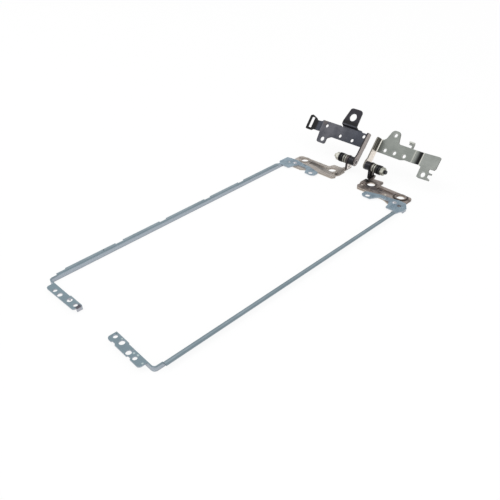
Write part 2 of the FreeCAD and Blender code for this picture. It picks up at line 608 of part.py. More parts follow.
# Pieces on the shaft, about the Y axis with Y = 0 at the bar's inner face
def shaft(name):
    body = new_body(name)
    last = NUT_START + " + nut_length"
    profile = draw(body, name + "Profile", "XY_Plane", "0", [[
        ("0", "-shaft_rivet_rise"), ("shaft_rivet - edge_break", "-shaft_rivet_rise"), ("shaft_rivet", "0"),
        ("shaft_core", "0"), ("shaft_core", "base_sheet"), ("shaft_barrel", "base_sheet"),
        ("shaft_barrel", BARREL_END), ("shaft_core", BARREL_END), ("shaft_core", NUT_START),
        ("shaft_thread", NUT_START), ("shaft_thread", last), ("shaft_root", last),
        ("shaft_root", SHAFT_END), ("0", SHAFT_END),
    ]])
    turn(body, profile)
    flat = draw(body, name + "Flat", "XY_Plane", "-2 * shaft_barrel", [[
        ("shaft_flat", washer_start(0)), ("2 * shaft_barrel", washer_start(0)),
        ("2 * shaft_barrel", last), ("shaft_flat", last),
    ]])
    pocket(body, flat, "4 * shaft_barrel", True)
    return body


def d_hole(body, name, start):
    """A hole with one flat, cut right through a washer that starts there."""
    sketch = draw(body, name, "XZ_Plane", "-(%s) - 3 * washer_sheet" % start)
    radius, flat = size("shaft_core") + size("key_gap"), size("shaft_flat") + size("key_gap")
    half = math.acos(flat / radius)
    circle = Part.Circle(FreeCAD.Vector(0, 0, 0), FreeCAD.Vector(0, 0, 1), radius)
    sketch.addGeometry(Part.ArcOfCircle(circle, half, 2 * math.pi - half), False)
    rise = radius * math.sin(half)
    sketch.addGeometry(Part.LineSegment(FreeCAD.Vector(flat, -rise, 0), FreeCAD.Vector(flat, rise, 0)), False)
    sketch.addConstraint(Sketcher.Constraint("Coincident", 0, 3, -1, 1))
    sketch.addConstraint(Sketcher.Constraint("Coincident", 0, 2, 1, 1))
    sketch.addConstraint(Sketcher.Constraint("Coincident", 1, 2, 0, 1))
    sketch.addConstraint(Sketcher.Constraint("Vertical", 1))
    across = sketch.addConstraint(Sketcher.Constraint("DistanceX", -1, 1, 1, 1, flat))
    bind(sketch, "Constraints[%d]" % across, "shaft_flat + key_gap")
    wide = sketch.addConstraint(Sketcher.Constraint("Radius", 0, radius))
    bind(sketch, "Constraints[%d]" % wide, "shaft_core + key_gap")
    pocket(body, sketch, "6 * washer_sheet", True)


def keyed_washer(name, number):
    """A flat washer whose D-shaped hole makes it turn with the shaft."""
    body = new_body(name)
    disc = draw(body, name + "Disc", "XZ_Plane", "-(%s)" % washer_start(number), (), [
        ("0", "0", "washer_radius" if number % 2 else "washer_radius - 0.25")])
    pad(body, disc, "washer_sheet", True)
    d_hole(body, name + "Key", washer_start(number))
    return body


def tab_washer(name):
    """The washer against the ear, with a tab that hooks into the ear's lock hole."""
    body = new_body(name)
    start = "-(%s)" % washer_start(0)
    disc = draw(body, name + "Disc", "XZ_Plane", start, (), [
        ("0", "0", "washer_radius"), ("0", "0", "shaft_core + running_gap")])
    pad(body, disc, "washer_sheet", True)
    tongue = draw(body, name + "Tongue", "XZ_Plane", start, [[
        ("-lock_hole", "-lock_drop - lock_hole"), ("lock_hole", "-lock_drop - lock_hole"),
        ("lock_hole", "-washer_radius + 0.3"), ("-lock_hole", "-washer_radius + 0.3"),
    ]])
    pad(body, tongue, "washer_sheet", True)
    half = "lock_hole * 0.65"
    nib = draw(body, name + "Nib", "XZ_Plane", start, [[
        ("-" + half, "-lock_drop - " + half), (half, "-lock_drop - " + half),
        (half, "-lock_drop + " + half), ("-" + half, "-lock_drop + " + half),
    ]])
    pad(body, nib, "arm_sheet * 0.8")
    return body


def spring_washer(name, number):
    """A dished ring; each one faces the other way from the one before."""
    body = new_body(name)
    start = SPRING_START + " + %d * %s" % (number, SPRING_PITCH)
    inner_shift, outer_shift = ("spring_dish", "0") if number % 2 else ("0", "spring_dish")
    hole = "shaft_core + running_gap"
    ring = draw(body, name + "Section", "XY_Plane", "0", [[
        (hole, start + " + " + inner_shift), ("spring_radius", start + " + " + outer_shift),
        ("spring_radius", start + " + spring_sheet + " + outer_shift),
        (hole, start + " + spring_sheet + " + inner_shift),
    ]])
    turn(body, ring)
    return body


def nut(name):
    """A hexagon nut with its outer corners bevelled by a turned blank."""
    hexagon = new_body(name + "Hexagon")
    corner, flat = "nut_flats / sqrt(3)", "nut_flats / 2"
    half = "nut_flats / (2 * sqrt(3))"
    prism = draw(hexagon, name + "Prism", "XZ_Plane", "-(%s)" % NUT_START, [[
        (corner, "0"), (half, flat), ("-" + half, flat), ("-" + corner, "0"), ("-" + half, "-" + flat),
        (half, "-" + flat),
    ]], [("0", "0", "shaft_thread")])
    pad(hexagon, prism, "nut_length", True)
    blank = new_body(name + "Blank")
    start = NUT_START
    end = NUT_START + " + nut_length"
    turned = draw(blank, name + "Turned", "XY_Plane", "0", [[
        ("0", start), (corner + " + edge_break", start), (corner + " + edge_break", end + " - 2 * edge_break"),
        (flat, end), ("0", end),
    ]])
    turn(blank, turned)
    return combine("Part::MultiCommon", name, [hexagon, blank])


# Base brackets: X away from the shaft, Y outward of the bar, Z towards the plate's front
def base_bar(name, left):
    """The upright bar with its rounded end round the shaft, as far as its bend into the plate."""
    body = new_body(name)
    side = "left" if left else "right"
    length, near = side + "_bar_length", side + "_bar_near"
    bend = "-plate_drop + %s_bend_outside" % side
    corners = [
        ("-bar_foot", "-left_bar_back" if left else "-plate_drop"), ("-bar_foot", "bar_eye"),
        ("0.8 * bar_eye", "bar_eye"), ("1.5 * bar_eye", near),
        (length, near + " - left_bar_lean" if left else near), (length, bend), ("plate_low", bend),
    ]
    if not left:
        corners.append(("plate_low", "-plate_drop"))
    profile = draw(body, name + "Profile", "XZ_Plane", "0", [corners], [("0", "0", "shaft_core")])
    pad(body, profile, "base_sheet", True)
    round_corners(body, profile, "bar_round", [0, 1])
    round_corners(body, profile, "1.5 * base_sheet", [4])
    return body


def plate_fold(name, side, profile_points, low, high):
    """A sheet folded along lines that point away from the shaft; the first bend is the bar's."""
    body = new_body(name)
    top = "-plate_drop + %s_bend_outside + 0.5" % side
    bend = [("base_sheet", "-plate_drop + base_sheet"), ("base_sheet", top), ("0", top), ("0", "-plate_drop")]
    profile = draw(body, name + "Profile", "YZ_Plane", low, [bend + profile_points])
    pad(body, profile, "%s - (%s)" % (high, low))
    round_corners(body, profile, side + "_bend_inside", [0])
    round_corners(body, profile, side + "_bend_outside", [3])
    return body


def plate_blank(name, outline, circles, rounds, extra_loops=()):
    """A plate's outline with its holes, deep enough for every fold."""
    body = new_body(name)
    plan = draw(body, name + "Plan", "XY_Plane", "-3 * plate_drop", [outline] + list(extra_loops), circles)
    pad(body, plan, "6 * plate_drop")
    for radius, corners in rounds:
        round_corners(body, plan, radius, corners)
    return body


def left_base(name):
    bar = base_bar(name + "Bar", True)
    back, front = "-plate_drop", "-plate_drop + base_sheet"
    low_back, low_front = back + " - left_step", front + " - left_step"
    leg_in = "left_width - left_leg_width"
    loop_near = "left_width + neck_length"
    loop_far = loop_near + " + loop_width"
    fold = plate_fold(name + "Fold", "left", [
        ("left_width + 0.2", back), ("left_width + 0.2 + left_step_run", low_back), (loop_far, low_back),
        (loop_far, low_front), ("left_width + 0.6 + left_step_run", low_front), ("left_width + 0.6", front),
    ], "left_leg_low", "loop_high + 1")
    slot = [("loop_low + loop_rim", loop_near + " + loop_rim"),
            ("loop_high - loop_rim", loop_near + " + loop_rim"),
            ("loop_high - loop_rim", loop_far + " - loop_rim"), ("loop_low + loop_rim", loop_far + " - loop_rim")]
    outline = [
        ("plate_low", "0"), ("plate_low", leg_in + " - 3"), ("plate_low - 1.8", leg_in),
        ("left_leg_low", leg_in), ("left_leg_low", "left_width - 0.9"),
        ("plate_low + 1.7", "left_width"), ("plate_low + 1.7", loop_near + " - 0.6"),
        ("loop_low", loop_near + " + 0.9"), ("loop_low", loop_far), ("loop_high - 0.8", loop_far),
        ("loop_high", loop_far + " - 2"), ("loop_high - 1.6", loop_near), ("plate_high - 1", loop_near + " - 1.2"),
        ("plate_high - 0.8", "left_width + 3.4"), ("plate_high", "left_width + 1.6"),
        ("plate_high", "left_tab_out + 1"), ("plate_high - 0.6", "left_tab_out + 0.8"),
        ("plate_high - 0.6", "left_tab_out"), ("left_tab_foot - 0.2", "left_tab_out"),
        ("left_tab_foot - 0.2", "left_tab_in"), ("plate_high + 0.9", "left_tab_in - 1.2"),
        ("plate_high + 0.9", "left_tab_in - 3.2"), ("plate_high", "left_tab_in - 4.4"), ("plate_high", "0"),
    ]
    holes = [("left_top_hole_away", "left_top_hole_out", "small_hole"),
             ("left_near_hole_away", "left_near_hole_out", "small_hole"),
             ("left_middle_hole_away", "left_middle_hole_out", "small_hole"),
             ("left_far_hole_away", "left_width - left_far_hole_margin", "small_hole"),
             ("left_leg_hole_away", "left_width - left_leg_hole_margin", "leg_hole")]
    blank = plate_blank(name + "Blank", outline, holes, [
        ("plate_round * 1.5", [1, 2, 3, 4]), ("plate_round", [7, 8, 9, 10])], [slot])
    plate = combine("Part::MultiCommon", name + "Plate", [fold, blank])
    tab_back = back + " + left_tab_rise"
    tab_fold = new_body(name + "TabFold")
    riser_top = "left_tab_foot + left_tab_run"
    step = draw(tab_fold, name + "TabProfile", "XZ_Plane", "-left_tab_out", [[
        ("plate_high - 0.8", back), ("left_tab_foot", back), (riser_top, tab_back),
        ("left_tab_top", tab_back), ("left_tab_top", tab_back + " + base_sheet"),
        (riser_top + " - base_sheet", tab_back + " + base_sheet"), ("left_tab_foot - base_sheet", front),
        ("plate_high - 0.8", front),
    ]])
    pad(tab_fold, step, "left_tab_out - left_tab_in")
    round_corners(tab_fold, step, "base_bend_outside", [1, 5])
    round_corners(tab_fold, step, "base_bend_inside", [2])
    tab_blank = plate_blank(name + "TabBlank", [
        ("plate_high - 0.8", "left_tab_in"), ("left_tab_top", "left_tab_in + 0.6"),
        ("left_tab_top", "left_tab_out - left_tab_taper"), ("left_tab_foot + 2.5", "left_tab_out"),
        ("plate_high - 0.8", "left_tab_out"),
    ], [("big_hole_away", "big_hole_out", "big_hole")], [("left_tab_round", [1, 2])])
    tab = combine("Part::MultiCommon", name + "Tab", [tab_fold, tab_blank])
    return combine("Part::MultiFuse", name, [bar, plate, tab])


def right_base(name):
    bar = base_bar(name + "Bar", False)
    back, front = "-plate_drop", "-plate_drop + base_sheet"
    low_back, low_front = back + " - right_step", front + " - right_step"
    step_end = "right_step_start + right_step_run"
    leg_out = "right_leg_in + right_leg_width"
    prong_out = leg_out + " + prong_length"
    fold = plate_fold(name + "Fold", "right", [
        ("right_step_start", back), (step_end, low_back), ("right_width", low_back), ("right_width", low_front),
        (step_end + " + 0.4", low_front), ("right_step_start + 0.4", front),
    ], "right_leg_low", "lobe_high")
    outline = [
        ("plate_low", "0"), ("plate_low", "right_far_hole_out - 2"), ("plate_low + 1", "right_far_hole_out + 1"),
        ("plate_low + 1", "right_step_start"), ("plate_low + 1.7", step_end + " + 0.5"),
        ("plate_low + 0.9", "right_leg_in - 0.2"), ("right_leg_low + 0.5", "right_leg_in"),
        ("right_leg_low", "right_leg_in + 1.5"), ("prong_gap_low - 1.6 * prong_width", prong_out),
        ("prong_gap_low - 0.5 * prong_width", prong_out), ("prong_gap_low + 0.5", leg_out),
        ("prong_gap_high - 0.4", leg_out), ("prong_gap_high", prong_out), ("prong_gap_high + prong_width", prong_out),
        ("prong_gap_high + prong_width + 0.2", leg_out), ("plate_low + 0.3", leg_out + " - 0.8"),
        ("plate_low + 1.4", leg_out + " - 0.5"), ("plate_low + 1.6", "right_width - 0.8"),
        ("plate_low + 2.8", "right_width"), ("plate_high + 0.6", "right_width"),
        ("plate_high + 0.8", "right_width - 1.2"), ("plate_high + 0.1", step_end + " + 0.4"),
        ("plate_high - 0.4", "right_step_start"), ("plate_high - 0.4", "hook_out"),
        ("plate_high - 0.4", "lobe_out + 2.2"), ("plate_high + 0.2", "lobe_out + 1.2"),
        ("lobe_high - 3", "lobe_out"), ("lobe_high", "lobe_out - 0.6"), ("lobe_high", "lobe_in"),
        ("plate_high + 0.4", "lobe_in - 2.2"), ("plate_high - 1", "lobe_in - 3.8"), ("plate_high - 1", "0"),
    ]
    holes = [("right_low_hole_away", "right_low_hole_out", "small_hole"),
             ("right_middle_hole_away", "right_middle_hole_out", "small_hole"),
             ("right_far_hole_away", "right_far_hole_out", "small_hole"),
             ("lobe_hole_away", "lobe_hole_out", "small_hole"),
             ("right_leg_hole_away", "right_leg_in + right_leg_hole_in", "leg_hole")]
    blank = plate_blank(name + "Blank", outline, holes, [
        ("lobe_round", [28]), ("lobe_round * 0.9", [27]), ("plate_round", [2, 19, 21, 24, 29])])
    plate = combine("Part::MultiCommon", name + "Plate", [fold, blank])
    curl = new_body(name + "HookCurl")
    bent = draw(curl, name + "HookProfile", "XZ_Plane", "-hook_out", [[
        ("plate_high - 1.4", back), ("hook_top", back), ("hook_top", back + " + hook_rise"),
        ("hook_top - base_sheet", back + " + hook_rise"), ("hook_top - base_sheet", front),
        ("plate_high - 1.4", front),
    ]])
    pad(curl, bent, "hook_width")
    round_corners(curl, bent, "base_bend_inside + base_sheet", [1])
    round_corners(curl, bent, "base_bend_inside", [4])
    stem = "hook_out - hook_stem"
    shape = plate_blank(name + "HookBlank", [
        ("plate_high - 1.4", stem), ("hook_top - hook_head", stem),
        ("hook_top - hook_head", "hook_out - hook_width"), ("hook_top", "hook_out - hook_width"),
        ("hook_top", "hook_out"), ("plate_high - 1.4", "hook_out"),
    ], [], [("plate_round * 0.7", [3])])
    hook = combine("Part::MultiCommon", name + "Hook", [curl, shape])
    return combine("Part::MultiFuse", name, [bar, plate, hook])


# Places of the hinge and of what turns with the shaft
hinge_place = FreeCAD.Placement(
    FreeCAD.Vector(-size("corner_gap_half"), -size("lead") / 2, 0),
    FreeCAD.Rotation(FreeCAD.Vector(0, 0, 1), 90 + size("splay")))
shaft_place = hinge_place.multiply(FreeCAD.Placement(
    FreeCAD.Vector(size("rail_reach") + size("shaft_ahead"), -size("bar_inward"), size("shaft_height")),
    FreeCAD.Rotation(FreeCAD.Vector(0, 1, 0), -size("base_tilt"))))
still_place = hinge_place.multiply(FreeCAD.Placement(
    FreeCAD.Vector(size("rail_reach") + size("shaft_ahead"), -size("bar_inward"), size("shaft_height")),
    FreeCAD.Rotation()))

# Sub-parts: every entry of kept is (node name, object); patterns exist only to be mirrored
kept = []
patterns = []


def keep(item, node, place):
    item.Label = node
    item.Placement = place
    kept.append((node, item))
    return item


def keep_mirrored(item, node, turned):
    """The same piece on the other side of the row's middle plane, moved ahead by the lead.

    What turns with the right shaft also leans further up about it.
    """
    twin = doc.addObject("Part::Mirroring", item.Name + "Mirror")
    twin.Source = item
    twin.Normal = FreeCAD.Vector(1, 0, 0)
    twin.Placement = FreeCAD.Placement(FreeCAD.Vector(0, size("lead"), 0), FreeCAD.Rotation())
    if turned:
        axis = still_place.Rotation.multVec(FreeCAD.Vector(0, 1, 0))
        centre = FreeCAD.Vector(-still_place.Base.x, still_place.Base.y, still_place.Base.z)
        lean = FreeCAD.Rotation(FreeCAD.Vector(-axis.x, axis.y, axis.z), size("right_lean"))
        twin.Placement = twin.Placement.multiply(FreeCAD.Placement(FreeCAD.Vector(), lean, centre))
    twin.Label = node
    kept.append((node, twin))
    return twin


def keep_pattern(item, node, place, turned):
    """A piece whose outline is the right hinge's own, modelled on the left one's frame."""
    item.Placement = place
    patterns.append(item)
    keep_mirrored(item, "right_" + node, turned)


def keep_both(item, node, place, turned=False):
    keep(item, "left_" + node, place)
    keep_mirrored(item, "right_" + node, turned)


keep(display_rail("LeftRail", True), "left_display_rail", hinge_place)
keep_pattern(display_rail("RightRailPattern", False), "display_rail", hinge_place, False)
keep(hinge_arm("LeftArm", True), "left_hinge_arm", hinge_place)
keep_pattern(hinge_arm("RightArmPattern", False), "hinge_arm", hinge_place, False)
for letter, back, reach in (("outer", "rivet_back", "rivet_in"), ("inner", "rivet_two_back", "rivet_two_in")):
    piece, place = rivet("Rivet" + letter.capitalize(), back, reach)
    keep_both(piece, letter + "_rivet", hinge_place.multiply(place))
keep_both(tab_washer("TabWasher"), "tab_washer", still_place)
keep_both(shaft("Shaft"), "shaft", shaft_place, True)
for number in range(1, WASHER_COUNT):
    keep_both(keyed_washer("KeyedWasher%d" % number, number), "keyed_washer_%d" % number, shaft_place, True)
for number in range(SPRING_COUNT):
    piece = spring_washer("SpringWasher%d" % (number + 1), number)
    keep_both(piece, "spring_washer_%d" % (number + 1), shaft_place, True)
keep_both(nut("Nut"), "nut", shaft_place, True)
keep(left_base("LeftBase"), "left_base_bracket", shaft_place)
keep_pattern(right_base("RightBasePattern"), "base_bracket", shaft_place, True)
doc.recompute()

# The origin goes to the middle of the pair, on the table
whole = FreeCAD.BoundBox()
for node, item in kept:
    whole.add(item.Shape.BoundBox)
shift = FreeCAD.Vector(-whole.Center.x, -whole.Center.y, -whole.ZMin)
moved = FreeCAD.Placement(shift, FreeCAD.Rotation())
for node, item in kept:
    if item.TypeId == "Part::Mirroring":
        # Its source moves too, and the mirror turns that move's X round and leaves Y and Z
        undone = FreeCAD.Placement(FreeCAD.Vector(shift.x, -shift.y, -shift.z), FreeCAD.Rotation())
        item.Placement = moved.multiply(item.Placement).multiply(undone)
    else:
        item.Placement = moved.multiply(item.Placement)
for item in patterns:
    item.Placement = moved.multiply(item.Placement)
doc.recompute()

# Nothing is written unless every object and every sub-part is sound
for item in doc.Objects:
    if "Invalid" in item.State or "Error" in item.State:
        raise RuntimeError("%s failed: %s" % (item.Label, item.State))
for node, item in kept:
    if item.Shape.isNull() or not item.Shape.isValid():
        raise RuntimeError("%s has no sound shape" % node)
    if len(item.Shape.Solids) != 1:
        raise RuntimeError("%s has %d solids" % (node, len(item.Shape.Solids)))
os.makedirs("parts", exist_ok=True)
for node, item in kept:
    item.Shape.exportStep("parts/%s.step" % node)
    box = item.Shape.BoundBox
    print("%-22s volume %8.2f  X %.2f to %.2f  Y %.2f to %.2f  Z %.2f to %.2f" % (
        node, item.Shape.Volume, box.XMin, box.XMax, box.YMin, box.YMax, box.ZMin, box.ZMax))
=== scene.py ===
# Laptop hinge pair: finishes, screw threads, floor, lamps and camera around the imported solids
import json
import math

import bpy
from mathutils import Matrix, Vector


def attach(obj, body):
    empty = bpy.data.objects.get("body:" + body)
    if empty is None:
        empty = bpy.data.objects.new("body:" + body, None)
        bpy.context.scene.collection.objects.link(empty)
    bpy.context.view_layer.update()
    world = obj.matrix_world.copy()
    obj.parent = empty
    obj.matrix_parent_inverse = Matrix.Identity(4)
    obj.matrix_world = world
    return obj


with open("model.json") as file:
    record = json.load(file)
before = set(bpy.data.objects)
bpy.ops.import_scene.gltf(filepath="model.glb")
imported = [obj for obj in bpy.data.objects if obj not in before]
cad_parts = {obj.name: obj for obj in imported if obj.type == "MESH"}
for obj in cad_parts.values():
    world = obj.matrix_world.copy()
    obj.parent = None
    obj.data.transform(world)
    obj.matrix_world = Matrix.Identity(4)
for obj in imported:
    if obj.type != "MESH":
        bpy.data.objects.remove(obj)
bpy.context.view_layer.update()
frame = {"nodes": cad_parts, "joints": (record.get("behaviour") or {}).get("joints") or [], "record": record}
mm = 0.001
upward = Vector((0, 0, 1))
joints = {joint["name"]: joint for joint in frame["joints"]}
mounts = {mount["name"]: mount for mount in frame["record"]["mounts"]}
print("frame loaded:", len(frame["nodes"]), "nodes")

# The arm's two screw holes, in millimetres: along the rail from its foot corner, and inward of its web
armHoles = {"along": 200.0, "inward": 6.9, "pitch": 23.8, "step": 1.2}
jointOut = 9.0  # the joint point's distance outward of the bar's inner face
# How far a face looks along a direction, where its mask starts and where it is full. For upright faces it
# is how far they look up, where the mask is still full and where it ends; slanted ones lie within a range.
faceLimits = {
    "upright": (0.3, 0.7), "frontal": (0.35, 0.7), "toward": (0.4, 0.8), "bar": (0.45, 0.75),
    "lip": (0.6, 0.9), "ear": (0.7, 0.9), "band": (0.75, 0.9), "slanted": (0.1, 0.75, 0.1),
}
# A ragged spot, for stains and for painted highlights and shade: the size of its ragged edge in millimetres,
# then the edge's swing and the full core by its radius
stainEdge = {"size": 1.6, "swing": 1.8, "core": 0.1}


# Directions and fixed points of one hinge, from its joint and its mounts
class Side:
    def __init__(self, name):
        joint = joints[name + "_hinge"]
        pin = Vector(joint["axis"])
        self.name = name
        self.along = upward.cross(pin)
        self.outward = -pin if name == "left" else pin
        self.front = Vector(mounts[name + "_leg_hole"]["axis"])
        self.away = self.front.cross(pin)
        self.barFace = Vector(joint["pos_m"]) / mm - self.outward * jointOut
        betweenHoles = Vector(mounts[name + "_arm_holes"]["pos_m"]) / mm
        self.corner = betweenHoles - self.along * (armHoles["along"] + armHoles["step"] / 2)
        self.corner += self.outward * (armHoles["inward"] + armHoles["pitch"] / 2)
        self.corner.z = 0

    # A point by the rail: so far along from its foot corner, so far inward of its web
    def onRail(self, along, inward):
        return self.corner + self.along * along - self.outward * inward

    # A point on the bracket's plate: so far away from the shaft, so far outward of the bar's inner face
    def onPlate(self, away, out):
        return self.barFace + self.away * away + self.outward * out


sides = {name: Side(name) for name in ("left", "right")}


# A colour of the photograph, 0 to 255, as linear light
def paint(colour):
    steps = [c / 255 for c in colour]
    return tuple(c / 12.92 if c <= 0.04045 else ((c + 0.055) / 1.055) ** 2.4 for c in steps) + (1.0,)


# A socket that stands in sums: each operator adds one Math node to its finish
class Amount:
    def __init__(self, finish, socket):
        self.finish = finish
        self.socket = socket

    def worked(self, operation, *values, clamp=False):
        settings = {"operation": operation, "use_clamp": clamp}
        return self.finish.node("ShaderNodeMath", settings, dict(enumerate(values)))

    def __add__(self, other):
        return self.worked("ADD", self, other)

    def __radd__(self, other):
        return self.worked("ADD", other, self)

    def __sub__(self, other):
        return self.worked("SUBTRACT", self, other)

    def __rsub__(self, other):
        return self.worked("SUBTRACT", other, self)

    def __mul__(self, other):
        return self.worked("MULTIPLY", self, other)

    def __rmul__(self, other):
        return self.worked("MULTIPLY", other, self)

    def __abs__(self):
        return self.worked("ABSOLUTE", self)

    # 0 below low, 1 above high, smooth between
    def rises(self, low, high):
        settings = {"interpolation_type": "SMOOTHSTEP"}
        sockets = {"Value": self, "From Min": low, "From Max": high}
        return self.finish.node("ShaderNodeMapRange", settings, sockets)

    def falls(self, low, high):
        return 1 - self.rises(low, high)

    # 1 from low to high, with soft ends
    def within(self, low, high, soft):
        return self.rises(low - soft, low + soft) * self.falls(high - soft, high + soft)


# One procedural finish on a Principled shader, or the nodes of any other tree
class Finish:
    def __init__(self, name, tree=None):
        self.material = None
        self.tree = tree
        if tree is None:
            self.material = bpy.data.materials.new(name)
            self.material.use_nodes = True
            self.tree = self.material.node_tree
            self.shader = self.tree.nodes["Principled BSDF"]

    # Any node: its type, its settings first, then what its sockets hold or take
    def node(self, kind, settings=None, sockets=None, output=0):
        made = self.tree.nodes.new(kind)
        for name, value in (settings or {}).items():
            setattr(made, name, value)
        for name, value in (sockets or {}).items():
            self.feed(made.inputs[name], value)
        return Amount(self, made.outputs[output])

    def feed(self, socket, value):
        if isinstance(value, Amount):
            self.tree.links.new(value.socket, socket)
        else:
            socket.default_value = value

    # A Vector Math node: an operation on two vectors, or on one
    def vector(self, operation, *values, output=0):
        return self.node("ShaderNodeVectorMath", {"operation": operation}, dict(enumerate(values)), output)

    def place(self):
        return self.node("ShaderNodeTexCoord", output="Object")

    # Millimetres from a point, measured along a direction
    def measure(self, direction, point):
        reach = self.vector("DOT_PRODUCT", self.place(), direction / mm, output="Value")
        return reach - direction.dot(point)

    # Millimetres from an axis
    def away(self, axis, point):
        moved = self.vector("SUBTRACT", self.place(), point * mm)
        return self.vector("LENGTH", self.vector("CROSS_PRODUCT", moved, axis / mm), output="Value")

    # How far a face looks along a direction, from -1 to 1
    def facing(self, direction):
        normal = self.node("ShaderNodeTexCoord", output="Normal")
        return self.vector("DOT_PRODUCT", normal, direction, output="Value")

    # Noise with patches about size millimetres wide, drawn out where stretch is below 1
    def noise(self, size, stretch=(1, 1, 1), detail=3.0, distortion=0.0):
        scaled = self.vector("MULTIPLY", self.place(), stretch)
        sockets = {"Vector": scaled, "Scale": 1 / (size * mm), "Detail": detail, "Distortion": distortion}
        return self.node("ShaderNodeTexNoise", None, sockets, "Fac")

    # Streaks: noise across one measure only, about size millimetres apart
    def streaks(self, across, size, detail=2.0):
        sockets = {"W": across, "Scale": 1 / size, "Detail": detail}
        return self.node("ShaderNodeTexNoise", {"noise_dimensions": "1D"}, sockets, "Fac")

    # A spot with a ragged edge round an upright axis; it serves for stains and for painted highlights and
    # shade
    def stain(self, point, radius):
        ragged = (self.noise(stainEdge["size"], detail=4) - 0.5) * (radius * stainEdge["swing"])
        return (self.away(upward, point) + ragged).falls(radius * stainEdge["core"], radius)

    # One random value for each crystal of the plating
    def crystals(self, size):
        sockets = {"Vector": self.place(), "Scale": 1 / (size * mm)}
        cell = self.node("ShaderNodeTexVoronoi", None, sockets, "Color")
        return self.node("ShaderNodeSeparateColor", None, {0: cell})

    # Colours mixed by a mask; each is a colour of the photograph or an earlier mix
    def mix(self, mask, first, second):
        pair = [value if isinstance(value, Amount) else paint(value) for value in (first, second)]
        return self.node("ShaderNodeMix", {"data_type": "RGBA"}, {0: mask, 6: pair[0], 7: pair[1]}, 2)

    # Colour, roughness and relief go to the shader; metallic is one value all over
    def close(self, colour, metallic, roughness, relief, strength, depth):
        sockets = {"Strength": strength, "Distance": depth * mm, "Height": relief}
        self.feed(self.shader.inputs["Base Color"], colour)
        self.feed(self.shader.inputs["Metallic"], metallic)
        self.feed(self.shader.inputs["Roughness"], roughness)
        self.feed(self.shader.inputs["Normal"], self.node("ShaderNodeBump", None, sockets))
        return self.material


# Sheet steel under plating: cloudy patches, crystals, rolling grain, fine scratches; sizes in millimetres
plating = {
    "streakSize": 0.5, "scratchSize": 0.35, "scratchStretch": 0.35, "scratchTwist": 1.5, "pitSize": 0.12,
    "cloudEdge": (0.35, 0.7), "streakEdge": (0.3, 0.75), "scratchEdge": (0.66, 0.74),
    "crystalShare": 0.1, "streakShare": 0.14, "scratchShare": 0.2,
    "cloudRough": 0.16, "streakRough": 0.12, "scratchRough": 0.08, "roughMiddle": 0.13,
    "streakRelief": 0.6, "crystalRelief": 0.25, "pitRelief": 0.3, "relief": 0.35, "reliefDepth": 0.02,
}


# The marks go on in turn: a mask, times the share of the tint where it is full, and the tint
def platedSteel(finish, look, colour, grain, marks=()):
    cloud = finish.noise(look["cloud"], detail=4)
    crystal = finish.crystals(look["crystal"])
    streak = finish.noise(plating["streakSize"], grain, detail=2)
    fine = tuple(plating["scratchStretch"] * g for g in grain)
    scratch = finish.noise(plating["scratchSize"], fine, detail=5, distortion=plating["scratchTwist"])
    scratch = scratch.rises(*plating["scratchEdge"])
    tone = cloud.rises(*plating["cloudEdge"]) * look["mottle"] + crystal * plating["crystalShare"]
    tone = tone + streak.rises(*plating["streakEdge"]) * plating["streakShare"]
    plated = finish.mix(tone * look["depth"], colour, look["shade"])
    plated = finish.mix(scratch * plating["scratchShare"], plated, look["bright"])
    for mask, tint in marks:
        plated = finish.mix(mask, plated, tint)
    roughness = streak * plating["streakRough"] + cloud * plating["cloudRough"]
    roughness = roughness - scratch * plating["scratchRough"] + (look["roughness"] - plating["roughMiddle"])
    relief = streak * plating["streakRelief"] + crystal * plating["crystalRelief"]
    relief = relief + finish.noise(plating["pitSize"], detail=2) * plating["pitRelief"]
    strength, depth = plating["relief"], plating["reliefDepth"]
    return finish.close(plated, look["metallic"], roughness, relief, strength, depth)


# Display rails: blue-grey zinc; the lighter web is a painted highlight and the darker fold lines are painted
# shade; marks at the foot and at the end plate, among them stains and painted highlights and shade on small
# bumps
railLook = {
    "flange": (144, 158, 166), "shade": (116, 132, 140), "bright": (192, 202, 206), "web": (164, 173, 182),
    "fold": (104, 122, 130), "foot": (124, 143, 152), "endPlate": (148, 167, 180), "lipFold": (76, 72, 82),
    "lip": (172, 172, 180), "recess": (96, 92, 96), "edge": (128, 128, 136), "emboss": (206, 218, 216),
    "scar": (74, 88, 88), "stain": (104, 124, 140), "elbow": (150, 152, 162), "stainSize": 6.0,
    "stainEdge": (0.5, 0.62), "cloud": 9.0, "crystal": 0.9, "mottle": 0.45, "depth": 1.0,
    "roughness": 0.42, "metallic": 0.7,
    # Where the finish changes, in millimetres: along from the foot corner, inward of the web, and up
    "footAlong": (-1.6, -0.4), "endStart": armHoles["along"] - 20.0, "endSoft": 1.5,
    "bendInward": (-1.1, -0.2, 0.35), "webBottom": (0.1, 0.7), "webTop": (2.0, 2.6),
    "rightEdge": (-2.3, -1.7), "lipInward": (26.7, 28.3), "lipHeight": (1.6, 2.2), "lipAlong": (-4.2, -3.4),
    # The step's two folds, darkened as painted shade: from and to, past the end plate's start, and share
    "stepFolds": [(-2.2, -1.6, 0.4), (1.6, 2.2, 0.5)], "stepSoft": 0.3,
    # The round recess on the right: past the end plate's start, inward, and its edge
    "recessPlace": (9.0, 1.1), "recessEdge": (1.0, 1.9),
    # Marks on the right foot, mostly painted highlights and painted shade on small embossed bumps: distance
    # before the corner, distance inward, radius and tint
    "footMarks": [
        (1.3, 23.6, 0.8, "emboss"), (0.2, 23.7, 0.7, "scar"), (2.0, 10.3, 0.8, "emboss"),
        (2.5, 12.6, 0.7, "emboss"), (1.3, 28.2, 0.7, "scar"), (1.6, 14.2, 0.8, "elbow"),
        (3.2, 5.0, 0.7, "emboss"),
    ],
}


